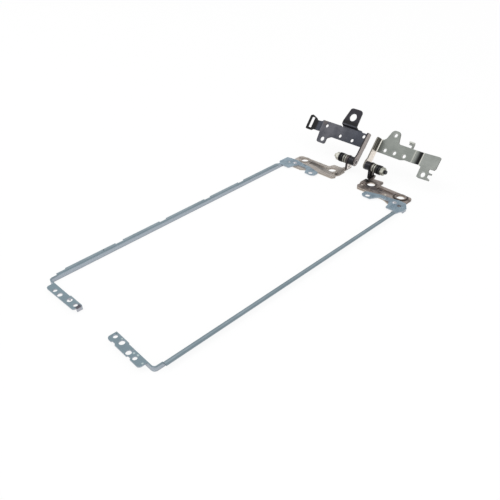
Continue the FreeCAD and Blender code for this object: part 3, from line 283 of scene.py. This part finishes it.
def railFinish(side):
    look = railLook
    start = look["endStart"]
    finish = Finish(side.name + "RailZinc")
    along = finish.measure(side.along, side.corner)
    inward = finish.measure(-side.outward, side.corner)
    height = finish.measure(upward, side.corner)
    top = finish.facing(upward).rises(*faceLimits["toward"])
    upright = abs(finish.facing(upward)).falls(*faceLimits["upright"])
    foot = along.falls(*look["footAlong"])
    end = along.rises(start - look["endSoft"], start + look["endSoft"])
    flange = (1 - foot) * (1 - end)
    colour = finish.mix(foot, look["flange"], look["foot"])
    colour = finish.mix(end, colour, look["endPlate"])
    stained = finish.noise(look["stainSize"], detail=4).rises(*look["stainEdge"])
    marks = [
        # painted shade: a darker line along the flange's bend
        (inward.within(*look["bendInward"]) * top * flange * 0.6, look["fold"]),
        (stained * end * top * 0.5, look["stain"]),
        # painted highlight: upright faces, the web above all, take a lighter colour
        (upright, look["web"]),
        # painted shade: the web darker at its foot, by the floor
        (upright * height.falls(*look["webBottom"]) * (1 - foot) * 0.5, look["edge"]),
        # painted shade: the web's top darker under the flange's bend
        (upright * height.rises(*look["webTop"]) * flange * 0.7, look["fold"]),
    ]
    # painted shade at the step's two folds
    for low, high, share in look["stepFolds"]:
        fold = along.within(start + low, start + high, look["stepSoft"])
        marks.append((fold * top * share, look["fold"]))
    if side.name == "left":
        # painted highlight: the left foot's lip lighter on its inward-facing side
        lip = finish.facing(-side.outward).rises(*faceLimits["lip"]) * foot
        # painted shade: the lip's fold darker
        lipFold = inward.rises(*look["lipInward"]) * foot * height.rises(*look["lipHeight"])
        marks.append((lip * 0.8, look["lip"]))
        marks.append((lipFold * along.rises(*look["lipAlong"]) * 0.9, look["lipFold"]))
    else:
        # painted shade: the round recess on the right darker
        past, reach = look["recessPlace"]
        recess = finish.away(upward, side.onRail(start + past, reach)).falls(*look["recessEdge"])
        marks.append((recess * end * 0.8, look["recess"]))
        # painted shade along the right flange's outer edge
        marks.append((inward.falls(*look["rightEdge"]) * top * flange * 0.7, look["fold"]))
        # painted highlights and painted shade on the right foot's small bumps
        for before, reach, radius, tint in look["footMarks"]:
            marks.append((finish.stain(side.onRail(-before, reach), radius) * top * 0.7, look[tint]))
    return platedSteel(finish, look, colour, (1, 0.06, 1), marks)


# Hinge arms: nickel with warm stain and brown sheared edges, painted shade along the groove and painted
# highlights on the near edge; the left ear's broad face is near-white, bare steel with a painted highlight.
# A spot is its place along from the outer hole and inward, its radius, its colour and its share; most are
# stains, the darkest beside the ear's foot are painted shade.
armLooks = {
    "left": {
        "plate": (190, 182, 174), "shade": (148, 141, 135), "bright": (220, 214, 206),
        "groove": (100, 99, 98), "edge": (150, 142, 134), "ring": (140, 128, 116), "ringShare": 0.25,
        "ringWidth": 0.5, "neckShare": 0.2, "ear": (74, 68, 68), "earFace": (240, 232, 226),
        "nearEdge": (184, 174, 164), "rim": -8.4, "cloud": 5.0, "crystal": 0.7, "mottle": 0.5,
        "depth": 0.8, "roughness": 0.36, "metallic": 0.75,
        "spots": [
            (0.4, 2.6, 2.3, (52, 40, 36), 0.85), (-4.6, 13.2, 1.6, (112, 120, 122), 0.4),
            (-2.2, 36.4, 2.8, (34, 29, 27), 0.9), (0.6, 27.0, 1.1, (104, 102, 84), 0.7),
        ],
    },
    "right": {
        "plate": (172, 160, 153), "shade": (118, 109, 106), "bright": (204, 194, 186),
        "groove": (122, 112, 108), "edge": (96, 82, 74), "ring": (44, 35, 31), "ringShare": 0.9,
        "ringWidth": 1.2, "neckShare": 0.95, "ear": (20, 19, 21), "earFace": (30, 28, 31),
        "nearEdge": (206, 196, 184), "rim": -8.9, "cloud": 4.0, "crystal": 0.7, "mottle": 0.6,
        "depth": 0.9, "roughness": 0.38, "metallic": 0.75,
        "spots": [
            (-3.0, 25.6, 5.8, (70, 68, 76), 0.6), (-5.6, 31.6, 5.0, (84, 76, 72), 0.65),
            (-2.0, 30.4, 3.4, (50, 56, 70), 0.6), (-4.4, 20.0, 2.4, (72, 68, 72), 0.7),
            (-0.6, 21.8, 1.9, (66, 62, 68), 0.7), (-4.1, 15.6, 1.3, (220, 220, 206), 0.85),
            (7.2, 26.4, 1.6, (60, 62, 60), 0.8), (3.4, 35.0, 3.4, (18, 17, 19), 0.9),
            (0.2, 1.2, 1.9, (54, 44, 38), 0.7),
        ],
    },
}
# Places on both arms, in millimetres: along from the outer hole, inward of the web, and up
armPlaces = {
    "bandSlope": 0.24, "bandMiddle": 3.84, "bandEdge": (1.2, 2.8),  # painted shade, a little askew over the groove
    "strongBand": (11.0, 26.5, 1.8), "weakBand": (26.5, 33.5, 1.2), "streakSize": 0.7,
    "streakEdge": (0.5, 0.62), "streaksFrom": (14.0, 18.0),
    "outerRing": 3.9, "innerRing": 2.8, "ringGap": 0.1, "ringSoft": 0.25,
    "nearEdgeTop": (0.5, 1.0), "earFrom": (1.2, 1.9), "earFaceTo": (6.5, 8.5), "earBackTo": (8.0, 8.7),
    "neckInward": (34.8, 36.0), "neckAlong": (2.6, 4.6), "rimWidth": 0.7, "rimInward": (25.0, 27.0),
}


def armFinish(side):
    look = armLooks[side.name]
    place = armPlaces
    finish = Finish(side.name + "ArmNickel")
    along = finish.measure(side.along, side.onRail(armHoles["along"], 0))
    inward = finish.measure(-side.outward, side.corner)
    height = finish.measure(upward, side.corner)
    upright = abs(finish.facing(upward)).falls(*faceLimits["upright"])
    top = 1 - upright
    skewed = along + inward * place["bandSlope"]
    band = abs(skewed - place["bandMiddle"]).falls(*place["bandEdge"]) * top
    beyond = inward.rises(*place["streaksFrom"])
    streaked = finish.streaks(skewed, place["streakSize"]).rises(*place["streakEdge"]) * beyond

    # A ring round a screw hole, a step further along and a pitch further inward for the second
    def ring(step, pitch, radius):
        centre = side.onRail(armHoles["along"] + step, armHoles["inward"] + pitch)
        low, high = radius - place["ringGap"], radius + look["ringWidth"]
        return finish.away(upward, centre).within(low, high, place["ringSoft"]) * top * look["ringShare"]

    marks = [
        # painted shade: a dark band along the groove
        (band * inward.within(*place["strongBand"]) * 0.8, look["groove"]),
        (band * inward.within(*place["weakBand"]) * 0.4, look["groove"]),
        (streaked * top * 0.35, look["shade"]),
        (ring(0, 0, place["outerRing"]), look["ring"]),
        (ring(armHoles["step"], armHoles["pitch"], place["innerRing"]) * 0.6, look["ring"]),
    ]
    # stains, and painted shade in the darkest spots beside the ear's foot
    for forward, reach, radius, tint, share in look["spots"]:
        stain = finish.stain(side.onRail(armHoles["along"] + forward, reach), radius)
        marks.append((stain * top * share, tint))
    ear = height.rises(*place["earFrom"])
    broad = abs(finish.facing(side.outward)).rises(*faceLimits["ear"])
    back = finish.facing(-side.outward).rises(*faceLimits["ear"])
    nearby = upright * finish.facing(-side.along).rises(*faceLimits["toward"])
    nearby = nearby * height.falls(*place["nearEdgeTop"])
    rim = along.falls(look["rim"], look["rim"] + place["rimWidth"]) * inward.rises(*place["rimInward"])
    neck = inward.rises(*place["neckInward"]) * along.rises(*place["neckAlong"])
    marks += [
        (upright, look["edge"]),
        # painted highlight: the near edge and the rim along it lighter
        (nearby * 0.8, look["nearEdge"]),
        (ear, look["ear"]),
        (neck * look["neckShare"], look["ear"]),
        # on the left the ear's broad face is near-white: bare steel and a painted highlight
        (ear * broad * height.falls(*place["earFaceTo"]), look["earFace"]),
        (ear * back * along.falls(*place["earBackTo"]), look["ear"]),
        (rim * top * 0.8, look["nearEdge"]),
    ]
    return platedSteel(finish, look, look["plate"], (0.08, 1, 1), marks)


# Base brackets: dark blue-grey on the left, green-grey on the right, each with its own worn places; the
# bars' light faces are painted reflections, and the bends carry painted highlights and shade.
# Places are in millimetres: away from the shaft, out from the bar's inner face, and to the front.
bracketLooks = {
    "left": {
        "plate": (70, 73, 82), "far": (92, 92, 98), "shade": (42, 45, 54), "bright": (100, 103, 110),
        "bar": (163, 155, 151), "barShade": (134, 127, 125), "barEdge": (34, 31, 34), "edge": (34, 32, 36),
        "tab": (35, 33, 40), "tabFold": (13, 12, 15), "neck": (58, 62, 72), "loop": (15, 15, 17),
        "rim": (92, 95, 102), "rust": (92, 86, 84), "cloud": 7.0, "crystal": 0.6, "mottle": 0.5,
        "depth": 0.9, "roughness": 0.38, "metallic": 0.6,
        "farOut": (8, 30), "shadeAway": (11.5, 17.0), "shadeOut": (26.0, 34.0), "darkPlace": (13.6, 8.0),
        "darkEdge": (2.0, 8.0), "rustPlace": (21.0, 40.0), "rustEdge": (1.5, 4.0), "neckOut": (40.4, 41.4),
        "neckLine": (40.5, 41.1, 0.25), "loopOut": (45.6, 47.4), "tabAway": (23.0, 23.8),
        "tabFront": (-2.6, -2.0), "tabFoldAway": (25.0, 26.8), "barShadeFront": (-2.6, -1.4),
    },
    "right": {
        "plate": (131, 135, 130), "shade": (111, 116, 112), "bright": (170, 174, 169),
        "bar": (252, 243, 233), "barShade": (232, 221, 210), "barEdge": (122, 119, 111),
        "edge": (92, 90, 86), "band": (56, 54, 49), "bandLight": (150, 145, 133), "cream": (226, 224, 214),
        "riser": (8, 9, 10), "outer": (147, 150, 146), "hook": (196, 197, 190), "rim": (184, 188, 183),
        "cloud": 7.0, "crystal": 0.6, "mottle": 0.35, "depth": 0.9, "roughness": 0.42, "metallic": 0.7,
        "outerOut": (28, 32), "bandOut": (2.4, 2.8), "bandAway": (11.0, 11.6), "bandLine": (-0.8, 0.7, 0.3),
        "riserOut": (28.9, 32.3, 0.2), "riserFrom": (28.6, 31.0), "riserTo": (31.9, 32.3),
        "lineBefore": (27.6, 28.4, 0.2), "lineAfter": (32.3, 32.8, 0.2), "hookAway": (23.4, 24.2),
        "hookFrom": (20.5, 21.0), "hookTo": (25.5, 26.0),
        "screwHoles": [(14.1, 6.7), (14.4, 14.1), (14.6, 21.6), (25.9, 9.5)],
    },
}
barPlaces = {
    "out": (0.9, 1.4), "edgeOut": (1.0, 1.5), "edgeFront": (-3.4, -2.8), "streakSize": 0.8,
    "streakEdge": (0.4, 0.65),
}
holeRingBand = {"width": 0.35, "soft": 0.15}


# A ring round a hole, whose axis is square to the plate
def holeRing(finish, side, centre, radius):
    return finish.away(side.front, centre).within(radius, radius + holeRingBand["width"], holeRingBand["soft"])


# The same round a hole that is a mount of its own
def mountRing(finish, side, hole):
    mount = mounts[side.name + hole]
    return holeRing(finish, side, Vector(mount["pos_m"]) / mm, mount["dims"]["r_mm"])


def leftBracketFinish(side):
    look = bracketLooks["left"]
    finish = Finish("leftBracketPlating")
    away = finish.measure(side.away, side.barFace)
    out = finish.measure(side.outward, side.barFace)
    front = finish.measure(side.front, side.barFace)
    frontal = abs(finish.facing(side.front)).rises(*faceLimits["frontal"])
    bar = out.falls(*barPlaces["out"]) * finish.facing(-side.outward).rises(*faceLimits["bar"])
    barEdge = frontal * out.falls(*barPlaces["edgeOut"]) * front.rises(*barPlaces["edgeFront"])
    streak = finish.streaks(front, barPlaces["streakSize"]).rises(*barPlaces["streakEdge"])
    tab = away.rises(*look["tabAway"]) * front.rises(*look["tabFront"])
    dark = finish.away(side.front, side.onPlate(*look["darkPlace"]))
    rust = finish.away(side.front, side.onPlate(*look["rustPlace"]))
    # painted shade: the plate darker towards the bar, lighter towards its far end
    colour = finish.mix(out.rises(*look["farOut"]), look["plate"], look["far"])
    marks = [
        # painted shade near the bar and round a dark spot low down
        (away.falls(*look["shadeAway"]) * out.falls(*look["shadeOut"]) * 0.6, look["shade"]),
        (dark.falls(*look["darkEdge"]) * 0.45, look["shade"]),
        (rust.falls(*look["rustEdge"]) * 0.7, look["rust"]),
        (1 - frontal, look["edge"]),
        (out.rises(*look["neckOut"]), look["neck"]),
        (out.rises(*look["loopOut"]), look["loop"]),
        (tab, look["tab"]),
        # painted shadow: a dark line at the tab's fold
        (tab * away.falls(*look["tabFoldAway"]), look["tabFold"]),
        (tab * (1 - frontal) * 0.8, look["edge"]),
        # painted highlight: a light line along the neck's bend
        (out.within(*look["neckLine"]) * frontal * 0.5, look["bright"]),
        (barEdge, look["barEdge"]),
        # painted reflection: the bar's inner face lighter, with painted shade towards its back
        (bar, look["bar"]),
        (bar * streak * 0.5, look["barShade"]),
        (bar * front.falls(*look["barShadeFront"]) * 0.5, look["barShade"]),
        (mountRing(finish, side, "_leg_hole") * frontal * 0.6, look["rim"]),
        (mountRing(finish, side, "_tab_hole") * frontal * 0.35, look["rim"]),
    ]
    return platedSteel(finish, look, colour, (0.08, 1, 1), marks)


def rightBracketFinish(side):
    look = bracketLooks["right"]
    finish = Finish("rightBracketPlating")
    away = finish.measure(side.away, side.barFace)
    out = finish.measure(side.outward, side.barFace)
    front = finish.measure(side.front, side.barFace)
    frontal = abs(finish.facing(side.front)).rises(*faceLimits["frontal"])
    sideways = finish.facing(side.outward)
    bar = out.falls(*barPlaces["out"]) * abs(sideways).rises(*faceLimits["bar"])
    barEdge = frontal * out.falls(*barPlaces["edgeOut"]) * front.rises(*barPlaces["edgeFront"])
    streak = finish.streaks(front, barPlaces["streakSize"]).rises(*barPlaces["streakEdge"])
    row = out.falls(*look["bandOut"]) * away.rises(*look["bandAway"])
    band = sideways.rises(*faceLimits["band"]) * row
    riser = out.within(*look["riserOut"])
    hook = away.rises(*look["hookAway"]) * out.rises(*look["hookFrom"]) * out.falls(*look["hookTo"])
    colour = finish.mix(out.rises(*look["outerOut"]) * 0.8, look["plate"], look["outer"])
    marks = [
        ((1 - frontal) * (1 - riser), look["edge"]),
        (barEdge, look["barEdge"]),
        # painted reflection: the bar's broad faces near-white
        (bar, look["bar"]),
        (bar * streak * 0.4, look["barShade"]),
        # painted reflection: the bar's face by the plate dark, with a painted highlight line, and painted
        # highlights on the bend's slanted faces
        (band * 0.95, look["band"]),
        (band * front.within(*look["bandLine"]) * 0.8, look["bandLight"]),
        (sideways.within(*faceLimits["slanted"]) * row, look["cream"]),
        # painted highlights at the step's two bends, painted shade on its riser
        (out.within(*look["lineBefore"]) * 0.3, look["cream"]),
        (out.rises(*look["riserFrom"]) * out.falls(*look["riserTo"]), look["riser"]),
        (out.within(*look["lineAfter"]) * 0.6, look["cream"]),
        (hook * 0.7, look["hook"]),
    ]
    screwRadius = mounts["right_base_outer_holes"]["dims"]["hole_r_mm"]
    for reach, place in look["screwHoles"]:
        ring = holeRing(finish, side, side.onPlate(reach, place), screwRadius)
        marks.append((ring * frontal * 0.7, look["rim"]))
    marks.append((mountRing(finish, side, "_leg_hole") * frontal * 0.6, look["rim"]))
    return platedSteel(finish, look, colour, (0.08, 1, 1), marks)


# Turned pieces on the shafts: soft patches, specks and fine turning rings
turnedLooks = {
    "barrel": {"colour": (22, 22, 26), "patch": (48, 48, 58), "metallic": 0.5, "roughness": 0.34},
    "spring": {"colour": (20, 21, 23), "patch": (38, 38, 43), "metallic": 0.5, "roughness": 0.38},
    "ringBright": {"colour": (164, 164, 155), "patch": (104, 102, 95), "metallic": 0.7, "roughness": 0.4},
    "ringDark": {"colour": (58, 56, 54), "patch": (34, 33, 32), "metallic": 0.7, "roughness": 0.4},
    "tabWasher": {"colour": (64, 58, 56), "patch": (92, 84, 81), "metallic": 0.6, "roughness": 0.38},
    "leftNut": {"colour": (204, 203, 193), "patch": (158, 156, 147), "metallic": 0.5, "roughness": 0.45},
    "rightNut": {"colour": (180, 180, 169), "patch": (134, 136, 126), "metallic": 0.6, "roughness": 0.42},
    "rivet": {"colour": (190, 188, 192), "patch": (150, 158, 166), "metallic": 0.75, "roughness": 0.36},
    "darkRivet": {"colour": (128, 142, 152), "patch": (96, 108, 120), "metallic": 0.7, "roughness": 0.42},
}
turning = {
    "patchSize": 1.6, "speckSize": 0.25, "ringSize": 0.12, "ringStretch": (1, 0.04, 0.04),
    "grainSize": 0.18, "patchEdge": (0.35, 0.7), "speckEdge": (0.6, 0.75), "patchShare": 0.7,
    "speckShare": 0.2, "patchRough": 0.2, "speckRough": 0.1, "roughMiddle": 0.1, "ringRelief": 0.5,
    "relief": 0.25, "reliefDepth": 0.02,
}


def turnedFinish(side, name, extra=()):
    look = turnedLooks[name]
    finish = Finish(side.name + name[0].upper() + name[1:])
    patch = finish.noise(turning["patchSize"], detail=4)
    speck = finish.noise(turning["speckSize"], detail=2).rises(*turning["speckEdge"])
    rings = finish.noise(turning["ringSize"], turning["ringStretch"], detail=1)
    tone = patch.rises(*turning["patchEdge"]) * turning["patchShare"] + speck * turning["speckShare"]
    colour = finish.mix(tone, look["colour"], look["patch"])
    for mask, tint in [make(finish) for make in extra]:
        colour = finish.mix(mask, colour, tint)
    roughness = patch * turning["patchRough"] + speck * turning["speckRough"]
    roughness = roughness + (look["roughness"] - turning["roughMiddle"])
    relief = finish.noise(turning["grainSize"], detail=3) + rings * turning["ringRelief"]
    strength, depth = turning["relief"], turning["reliefDepth"]
    return finish.close(colour, look["metallic"], roughness, relief, strength, depth)


# The shaft's barrel is dark, and its riveted end has a light ring round a dark heart. Its thread end takes
# the nut's tone on the left. Places in millimetres: out from the bar's inner face, and radius.
shaftLook = {
    "ring": (176, 168, 166), "heart": (40, 36, 36), "leftTip": (206, 204, 190), "rightTip": (44, 46, 50),
    "headOut": (0.05, 0.3), "tipOut": (15.4, 15.8), "ringRadius": (1.2, 2.0, 0.2),
    "heartRadius": (0.8, 1.2),
}


def shaftFinish(side):
    look = shaftLook

    def headed(finish):
        return finish.measure(side.outward, side.barFace).falls(*look["headOut"])

    def ring(finish):
        radius = finish.away(side.outward, side.barFace)
        return headed(finish) * radius.within(*look["ringRadius"]), look["ring"]

    def heart(finish):
        radius = finish.away(side.outward, side.barFace)
        return headed(finish) * radius.falls(*look["heartRadius"]), look["heart"]

    def tip(finish):
        return finish.measure(side.outward, side.barFace).rises(*look["tipOut"]), look[side.name + "Tip"]

    return turnedFinish(side, "barrel", (ring, heart, tip))


dressed = {
    "outer_rivet": "rivet", "inner_rivet": "darkRivet", "tab_washer": "tabWasher",
    "keyed_washer_1": "ringBright", "keyed_washer_2": "ringDark", "keyed_washer_3": "ringBright",
    "keyed_washer_4": "ringDark", "spring_washer_1": "spring", "spring_washer_2": "spring",
    "spring_washer_3": "spring", "spring_washer_4": "spring",
}
finishes = {}
for sideName, side in sides.items():
    finishes[sideName + "_display_rail"] = railFinish(side)
    finishes[sideName + "_hinge_arm"] = armFinish(side)
    finishes[sideName + "_shaft"] = shaftFinish(side)
    finishes[sideName + "_nut"] = turnedFinish(side, sideName + "Nut")
    shared = {name: turnedFinish(side, name) for name in sorted(set(dressed.values()))}
    for piece, name in dressed.items():
        finishes[sideName + "_" + piece] = shared[name]
finishes["left_base_bracket"] = leftBracketFinish(sides["left"])
finishes["right_base_bracket"] = rightBracketFinish(sides["right"])
for name, node in frame["nodes"].items():
    node.data.materials.clear()
    node.data.materials.append(finishes[name])
print("finishes on nodes:", len(frame["nodes"]))

# The thread past each nut, in millimetres: a ridge wound round the shaft's root
thread = {
    "root": 1.3, "ridge": 0.13, "ridgeSides": 4, "pitch": 0.35, "start": 15.75, "length": 1.25,
    "stepsPerTurn": 40,
}


def threadTree(material):
    sizes = ("Radius", "Ridge", "Pitch", "Turns")
    tree = bpy.data.node_groups.new("woundRidge", "GeometryNodeTree")
    tree.is_modifier = True
    for name in sizes:
        tree.interface.new_socket(name, in_out="INPUT", socket_type="NodeSocketFloat")
    tree.interface.new_socket("Geometry", in_out="OUTPUT", socket_type="NodeSocketGeometry")
    wound = Finish("ridge", tree)
    inputs = tree.nodes.new("NodeGroupInput")
    given = {name: Amount(wound, inputs.outputs[name]) for name in sizes}
    spiral = {
        "Resolution": thread["stepsPerTurn"], "Rotations": given["Turns"], "Start Radius": given["Radius"],
        "End Radius": given["Radius"], "Height": given["Pitch"] * given["Turns"],
    }
    path = wound.node("GeometryNodeCurveSpiral", None, spiral)
    section = {"Resolution": thread["ridgeSides"], "Radius": given["Ridge"]}
    profile = wound.node("GeometryNodeCurvePrimitiveCircle", None, section)
    swept = {"Curve": path, "Profile Curve": profile, "Fill Caps": True}
    ridge = wound.node("GeometryNodeCurveToMesh", None, swept)
    whole = wound.node("GeometryNodeRealizeInstances", None, {"Geometry": ridge})
    coated = wound.node("GeometryNodeSetMaterial", None, {"Geometry": whole, "Material": material})
    wound.feed(tree.nodes.new("NodeGroupOutput").inputs["Geometry"], coated)
    return tree


# A node tree's result as a plain mesh object, turned so that its Z axis lies outward on the shaft
def woundThread(side):
    material = finishes[side.name + "_shaft"]
    carrier = bpy.data.objects.new("carrier", bpy.data.meshes.new("carrier"))
    bpy.context.collection.objects.link(carrier)
    modifier = carrier.modifiers.new("ridge", "NODES")
    modifier.node_group = threadTree(material)
    values = {
        "Radius": thread["root"] * mm, "Ridge": thread["ridge"] * mm, "Pitch": thread["pitch"] * mm,
        "Turns": thread["length"] / thread["pitch"],
    }
    for item in modifier.node_group.interface.items_tree:
        if item.name in values:
            modifier[item.identifier] = values[item.name]
    ready = carrier.evaluated_get(bpy.context.evaluated_depsgraph_get())
    mesh = bpy.data.meshes.new_from_object(ready)
    carrier.modifiers.clear()
    bpy.data.objects.remove(carrier)
    turned = side.outward.to_track_quat("Z", "X").to_matrix().to_4x4()
    start = side.barFace + side.outward * thread["start"]
    mesh.transform(Matrix.Translation(start * mm) @ turned)
    piece = bpy.data.objects.new(side.name + "_thread_ridge", mesh)
    bpy.context.collection.objects.link(piece)
    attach(piece, side.name + "_base")
    return piece


for side in sides.values():
    print("thread wound:", woundThread(side).name)

# White surround: seen by the camera, and in the metal, as plain white; its light is a little weaker
surround = {"low": 0.55, "rise": 0.35, "fade": (-0.2, 0.8)}
world = bpy.data.worlds.new("studio")
bpy.context.scene.world = world
world.use_nodes = True
sky = Finish("sky", world.node_tree)


# 1 where the camera looks straight at a surface, or sees it in metal or glass
def seen(finish):
    camera, glossy, through = [
        finish.node("ShaderNodeLightPath", output=name)
        for name in ("Is Camera Ray", "Is Glossy Ray", "Is Transmission Ray")
    ]
    return camera.worked("ADD", camera + glossy, through, clamp=True)


generated = sky.node("ShaderNodeTexCoord", output="Generated")
skyward = sky.node("ShaderNodeSeparateXYZ", None, {0: generated}, "Z")
level = skyward.rises(*surround["fade"]) * surround["rise"] + surround["low"]
looking = seen(sky)
backdrop = world.node_tree.nodes["Background"]
sky.feed(backdrop.inputs["Color"], (1, 1, 1, 1))
sky.feed(backdrop.inputs["Strength"], looking + (1 - looking) * level)

# The floor is as white and keeps the soft shadow; its reach is in metres, its drop in millimetres
floorLook = {"colour": (0.97, 0.97, 0.97, 1), "roughness": 0.9, "glow": 0.9, "reach": 3.0, "drop": 0.02}


def floorFinish():
    finish = Finish("whiteFloor")
    finish.feed(finish.shader.inputs["Base Color"], floorLook["colour"])
    finish.feed(finish.shader.inputs["Roughness"], floorLook["roughness"])
    finish.feed(finish.shader.inputs["Specular IOR Level"], 0.0)
    glow = finish.node("ShaderNodeEmission", None, {"Strength": 1.0})
    matt = Amount(finish, finish.shader.outputs[0])
    both = finish.node("ShaderNodeMixShader", None, {0: seen(finish) * floorLook["glow"], 1: matt, 2: glow})
    finish.feed(finish.tree.nodes["Material Output"].inputs["Surface"], both)
    return finish.material


reach = floorLook["reach"]
floorMesh = bpy.data.meshes.new("floor")
floorCorners = [(-reach, -reach, 0), (reach, -reach, 0), (reach, reach, 0), (-reach, reach, 0)]
floorMesh.from_pydata(floorCorners, [], [(0, 1, 2, 3)])
floorMesh.materials.append(floorFinish())
floor = bpy.data.objects.new("floor", floorMesh)
floor.location.z = -floorLook["drop"] * mm
bpy.context.collection.objects.link(floor)

# Lamps: place, width and length in metres, power in watts
lamps = {
    "keyLight": {"place": (-0.5, -0.4, 1.0), "width": 0.7, "length": 0.49, "power": 2.6},
    "fillLight": {"place": (1.0, -0.2, 0.6), "width": 0.8, "length": 0.56, "power": 2.2},
}
for name, lamp in lamps.items():
    data = bpy.data.lights.new(name, "AREA")
    data.shape = "RECTANGLE"
    data.size = lamp["width"]
    data.size_y = lamp["length"]
    data.energy = lamp["power"]
    softbox = bpy.data.objects.new(name, data)
    softbox.location = lamp["place"]
    softbox.rotation_mode = "QUATERNION"
    softbox.rotation_quaternion = (-Vector(lamp["place"])).to_track_quat("-Z", "Y")
    bpy.context.collection.objects.link(softbox)
print("stage set:", len(lamps), "lamps")

# Camera: looks down on the pair from the near right, 500 pixels square. Angles are in degrees and lengths
# in millimetres, but the nearest and farthest that it sees are in metres.
view = {
    "turn": 44.620, "height": 35.938, "distance": 294.493, "aim": (14.186, -21.599, 0), "sensor": 36.0,
    "pixels": 500.0, "focalPixels": 521.484, "nearest": 0.01, "farthest": 20,
}
turn, height = math.radians(view["turn"]), math.radians(view["height"])
back = Vector((math.sin(turn) * math.cos(height), -math.cos(turn) * math.cos(height), math.sin(height)))
lens = bpy.data.cameras.new("camera")
lens.sensor_width = view["sensor"]
lens.lens = view["focalPixels"] / view["pixels"] * view["sensor"]
lens.clip_start = view["nearest"]
lens.clip_end = view["farthest"]
camera = bpy.data.objects.new("camera", lens)
camera.location = (Vector(view["aim"]) + back * view["distance"]) * mm
camera.rotation_mode = "QUATERNION"
camera.rotation_quaternion = (-back).to_track_quat("-Z", "Y")
bpy.context.collection.objects.link(camera)
scene = bpy.context.scene
scene.camera = camera
scene.view_settings.view_transform = "Standard"

print("scene set")
